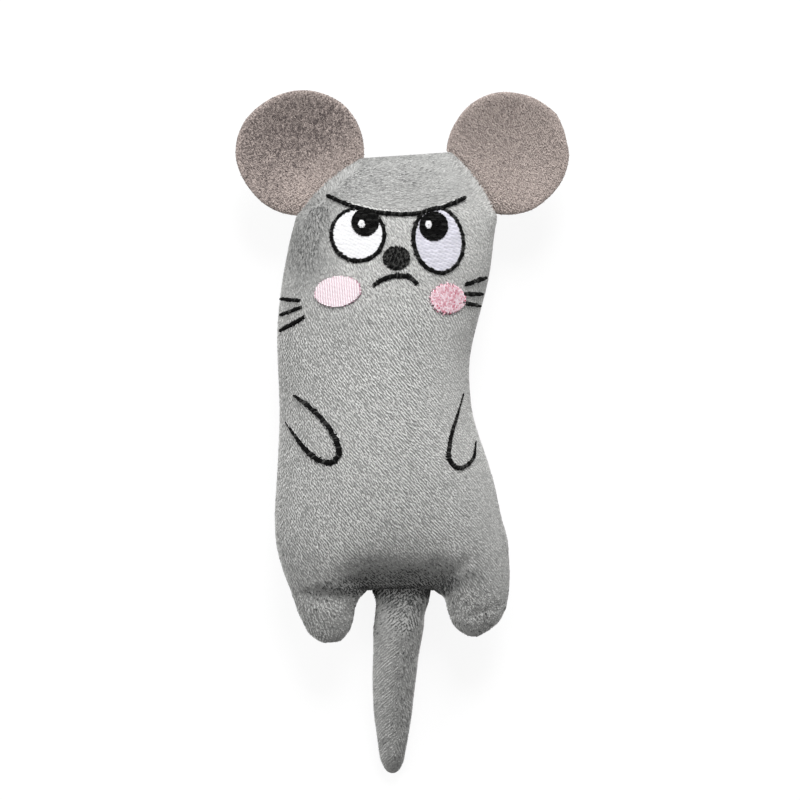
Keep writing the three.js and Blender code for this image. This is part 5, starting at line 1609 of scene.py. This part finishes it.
class CATNIP_OT_filling(bpy.types.Operator):
    """Wads of fibre inside the body, and the catnip sachet"""

    bl_idname = "catnip.filling"
    bl_label = "Filling"

    def execute(self, context):
        front, back = PANELS["front"], PANELS["back"]
        neck_level, depth, least, apart = 70.6, 2.6, 0.4, 0.2
        neck = int(np.searchsorted(front.plan[:, front.left, 1], neck_level))
        crotch, left, right = front.crotch, front.left, front.right
        inside = [cloth.at - cloth.normals * depth for cloth in (front, back)]
        inside[0][..., 2] = np.maximum(inside[0][..., 2], least)
        inside[1][..., 2] = np.minimum(inside[1][..., 2], -least)
        middle = [surface.copy() for surface in inside]
        middle[0][..., 2], middle[1][..., 2] = apart, -apart
        wads = {
            "head_stuffing": (inside[0], inside[1], slice(neck + 1, -3), slice(3, -3)),
            "front_body_stuffing": (inside[0], middle[0], slice(crotch + 4, neck), slice(3, -3)),
            "back_body_stuffing": (middle[1], inside[1], slice(crotch + 4, neck), slice(3, -3)),
            "left_leg_stuffing": (inside[0], inside[1], slice(4, crotch - 1), slice(4, left - 3)),
            "right_leg_stuffing": (inside[0], inside[1], slice(4, crotch - 1), slice(right + 4, -4)),
        }
        for node, (top, bottom, rows, columns) in wads.items():
            top, bottom = top[rows, columns][::2, ::2], bottom[rows, columns][::2, ::2]
            if node.endswith("body_stuffing"):
                top, bottom = self.hollowed(node, top, bottom)
            piece = new_piece(
                new_mesh(node.replace("stuffing", "fibre"), *closed_grid(top, bottom)), [fibre_material()])
            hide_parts(node)
        self.sachet()
        return {"FINISHED"}

    def hollowed(self, node, top, bottom):
        """Presses the sachet's hollow, a paraboloid, into the side of a body wad that meets it."""
        front = node.startswith("front")
        half_width, half_height, depth, least = 17, 23, 6.2, 0.3
        meet = (bottom if front else top).copy()
        far = np.hypot((meet[..., 0] - SACHET[0]) / half_width, (meet[..., 1] - SACHET[1]) / half_height)
        meet[..., 2] += (1 if front else -1) * depth * np.clip(1 - far ** 2, 0, 1)
        limit = (top if front else bottom)[..., 2]
        meet[..., 2] = np.minimum(meet[..., 2], limit - least) if front else np.maximum(meet[..., 2], limit + least)
        return (top, meet) if front else (meet, bottom)

    def sachet(self):
        """Two sealed cloths with a flat hem, and the dried leaf between them: lenses over a rounded oblong."""
        rings, sides = np.linspace(0.02, 1, 16), 64
        turn = np.arange(sides) * 2 * np.pi / sides
        square = lambda value: np.sign(value) * np.abs(value) ** (2 / 2.6)
        flat = np.stack([square(np.cos(turn)), square(np.sin(turn))], -1)
        cloth = cloth_material("sachet_cloth", (0.62, 0.58, 0.48), (0.8, 0.76, 0.66), 0.0006)
        leaf = cloth_material("dried_leaf", (0.06, 0.075, 0.02), (0.2, 0.22, 0.08), 0.0012)

        def lens(name, reach, top, bottom, material, node, slot):
            """Lens whose top and bottom are functions of a bulge, one less the square of the distance out."""
            spread = rings[:, None, None] * flat * np.array(reach)
            bulge = np.clip(1 - (rings / SACHET_HEM) ** 2, 0, 1)[:, None] * np.ones(sides)
            make = lambda height: np.concatenate([spread, height(bulge)[..., None]], -1) + SACHET
            points = np.concatenate([make(top), make(bottom)[::-1]])
            quads, caps = tube_faces(len(points), sides)
            piece = new_piece(new_mesh(name, points, quads[:, ::-1], caps[:, ::-1]), [material])
            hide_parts(node)

        lens("sachet_front", (16, 22), lambda b: 0.65 + 5 * b, lambda b: 0.15 + 5 * b, cloth,
             "sachet_front_cloth", "sachet_cream")
        lens("sachet_back", (16, 22), lambda b: -0.15 - 5 * b, lambda b: -0.65 - 5 * b, cloth,
             "sachet_back_cloth", "sachet_cream")
        lens("catnip_leaf", (12.2, 16.8), lambda b: 0.1 + 4.4 * np.sqrt(b), lambda b: -0.1 - 4.4 * np.sqrt(b), leaf,
             "dried_catnip", "catnip_green")


class CATNIP_OT_stage(bpy.types.Operator):
    """Pale floor, soft light and the camera above the belly"""

    bl_idname = "catnip.stage"
    bl_label = "Stage"

    def execute(self, context):
        scene, settings = context.scene, context.scene.catnip_mouse.stage
        scene.view_settings.view_transform = "Standard"
        middle = (np.array([settings.centre_x, settings.centre_y, 0]) / MM + SEAM_ORIGIN) * MM
        data = bpy.data.cameras.new("camera")
        data.lens = settings.lens
        distance = settings.width * settings.lens / data.sensor_width
        data.clip_start, data.clip_end = 0.05, 20
        camera = new_object(data)
        camera.location = middle + (0, 0, distance)
        scene.camera = camera

        points = np.array([(-1, -1), (1, -1), (1, 1), (-1, 1)]) * 900.0
        floor_z = -SEAM_ORIGIN[2] - 0.05
        mesh = new_mesh("floor", np.column_stack([points, np.full(4, floor_z)]), np.array([[0, 1, 2, 3]]))
        mesh.materials.append(self.floor_material())
        floor = new_object(mesh)

        world = bpy.data.worlds.new("sky")
        world.use_nodes = True
        scene.world = world
        tree = world.node_tree
        sky = tree.nodes["Background"]
        sky.inputs["Color"].default_value = (1, 1, 1, 1)
        strength = tree.nodes.new("ShaderNodeMapRange")
        strength.inputs["To Min"].default_value = settings.sky
        strength.inputs["To Max"].default_value = 1.0
        tree.links.new(self.seen_ray(tree), strength.inputs["Value"])
        tree.links.new(strength.outputs["Result"], sky.inputs["Strength"])

        self.lamp("key", (0.10, 0.95, 0.74), settings.key)
        self.lamp("left_fill", (-1.0, 0.10, 0.6), settings.fill * 1.25)
        self.lamp("right_fill", (1.0, 0.25, 0.6), settings.fill * 0.6)
        return {"FINISHED"}

    def seen_ray(self, tree):
        """Socket that is 1 on camera, glossy and transmission rays, and 0 on the others."""
        path = tree.nodes.new("ShaderNodeLightPath")
        seen = path.outputs["Is Camera Ray"]
        for kind in ("Is Glossy Ray", "Is Transmission Ray"):
            most = tree.nodes.new("ShaderNodeMath")
            most.operation = "MAXIMUM"
            tree.links.new(seen, most.inputs[0])
            tree.links.new(path.outputs[kind], most.inputs[1])
            seen = most.outputs["Value"]
        return seen

    def lamp(self, name, place, power):
        """Round soft lamp that points at the middle of the mouse."""
        data = bpy.data.lights.new(name, "AREA")
        data.shape, data.size, data.energy = "DISK", 0.6, power
        lamp = new_object(data)
        lamp.location = place
        lamp.rotation_mode = "QUATERNION"
        lamp.rotation_quaternion = (Vector((0, 0.01, 0.01)) - lamp.location).to_track_quat("-Z", "Y")

    def floor_material(self):
        """Floor that looks white by itself and still takes the mouse's shadow."""
        material, tree, shader = new_material("pale_floor", 0.9, 0.1)
        shader.inputs["Base Color"].default_value = (0.6, 0.6, 0.6, 1)
        glow = tree.nodes.new("ShaderNodeEmission")
        glow.inputs["Color"].default_value = (1, 1, 1, 1)
        glow.inputs["Strength"].default_value = 1.15
        share = tree.nodes.new("ShaderNodeMath")
        share.operation = "MULTIPLY"
        share.inputs[1].default_value = 0.78
        mix = tree.nodes.new("ShaderNodeMixShader")
        output = tree.nodes["Material Output"]
        tree.links.new(self.seen_ray(tree), share.inputs[0])
        tree.links.new(share.outputs["Value"], mix.inputs["Fac"])
        tree.links.new(shader.outputs["BSDF"], mix.inputs[1])
        tree.links.new(glow.outputs["Emission"], mix.inputs[2])
        tree.links.new(mix.outputs["Shader"], output.inputs["Surface"])
        return material


OPERATORS = (
    CATNIP_OT_stage, CATNIP_OT_panels, CATNIP_OT_seam, CATNIP_OT_lines, CATNIP_OT_patches, CATNIP_OT_ears,
    CATNIP_OT_tail, CATNIP_OT_filling,
)


class CATNIP_PT_sidebar(bpy.types.Panel):
    """Lists the steps that build the mouse"""

    bl_idname = "CATNIP_PT_sidebar"
    bl_label = "Catnip Mouse"
    bl_space_type = "VIEW_3D"
    bl_region_type = "UI"
    bl_category = "Catnip Mouse"

    def draw(self, context):
        """One button for each step."""
        for operator in OPERATORS:
            self.layout.operator(operator.bl_idname)


CLASSES = (
    PlushSettings, BodySettings, ThreadSettings, EarSettings, TailSettings, StageSettings, MouseSettings,
    *OPERATORS, CATNIP_PT_sidebar,
)


def register():
    """Registers the classes and gives every scene its settings."""
    for cls in CLASSES:
        bpy.utils.register_class(cls)
    bpy.types.Scene.catnip_mouse = bpy.props.PointerProperty(type=MouseSettings)


def unregister():
    """Takes away what register adds, in reverse."""
    del bpy.types.Scene.catnip_mouse
    for cls in reversed(CLASSES):
        bpy.utils.unregister_class(cls)


def main():
    """Builds the stage and the mouse step by step."""
    register()
    bpy.ops.catnip.stage()
    bpy.ops.catnip.panels()
    bpy.ops.catnip.seam()
    bpy.ops.catnip.lines()
    bpy.ops.catnip.patches()
    bpy.ops.catnip.ears()
    bpy.ops.catnip.tail()
    bpy.ops.catnip.filling()


if __name__ == "__main__":
    main()
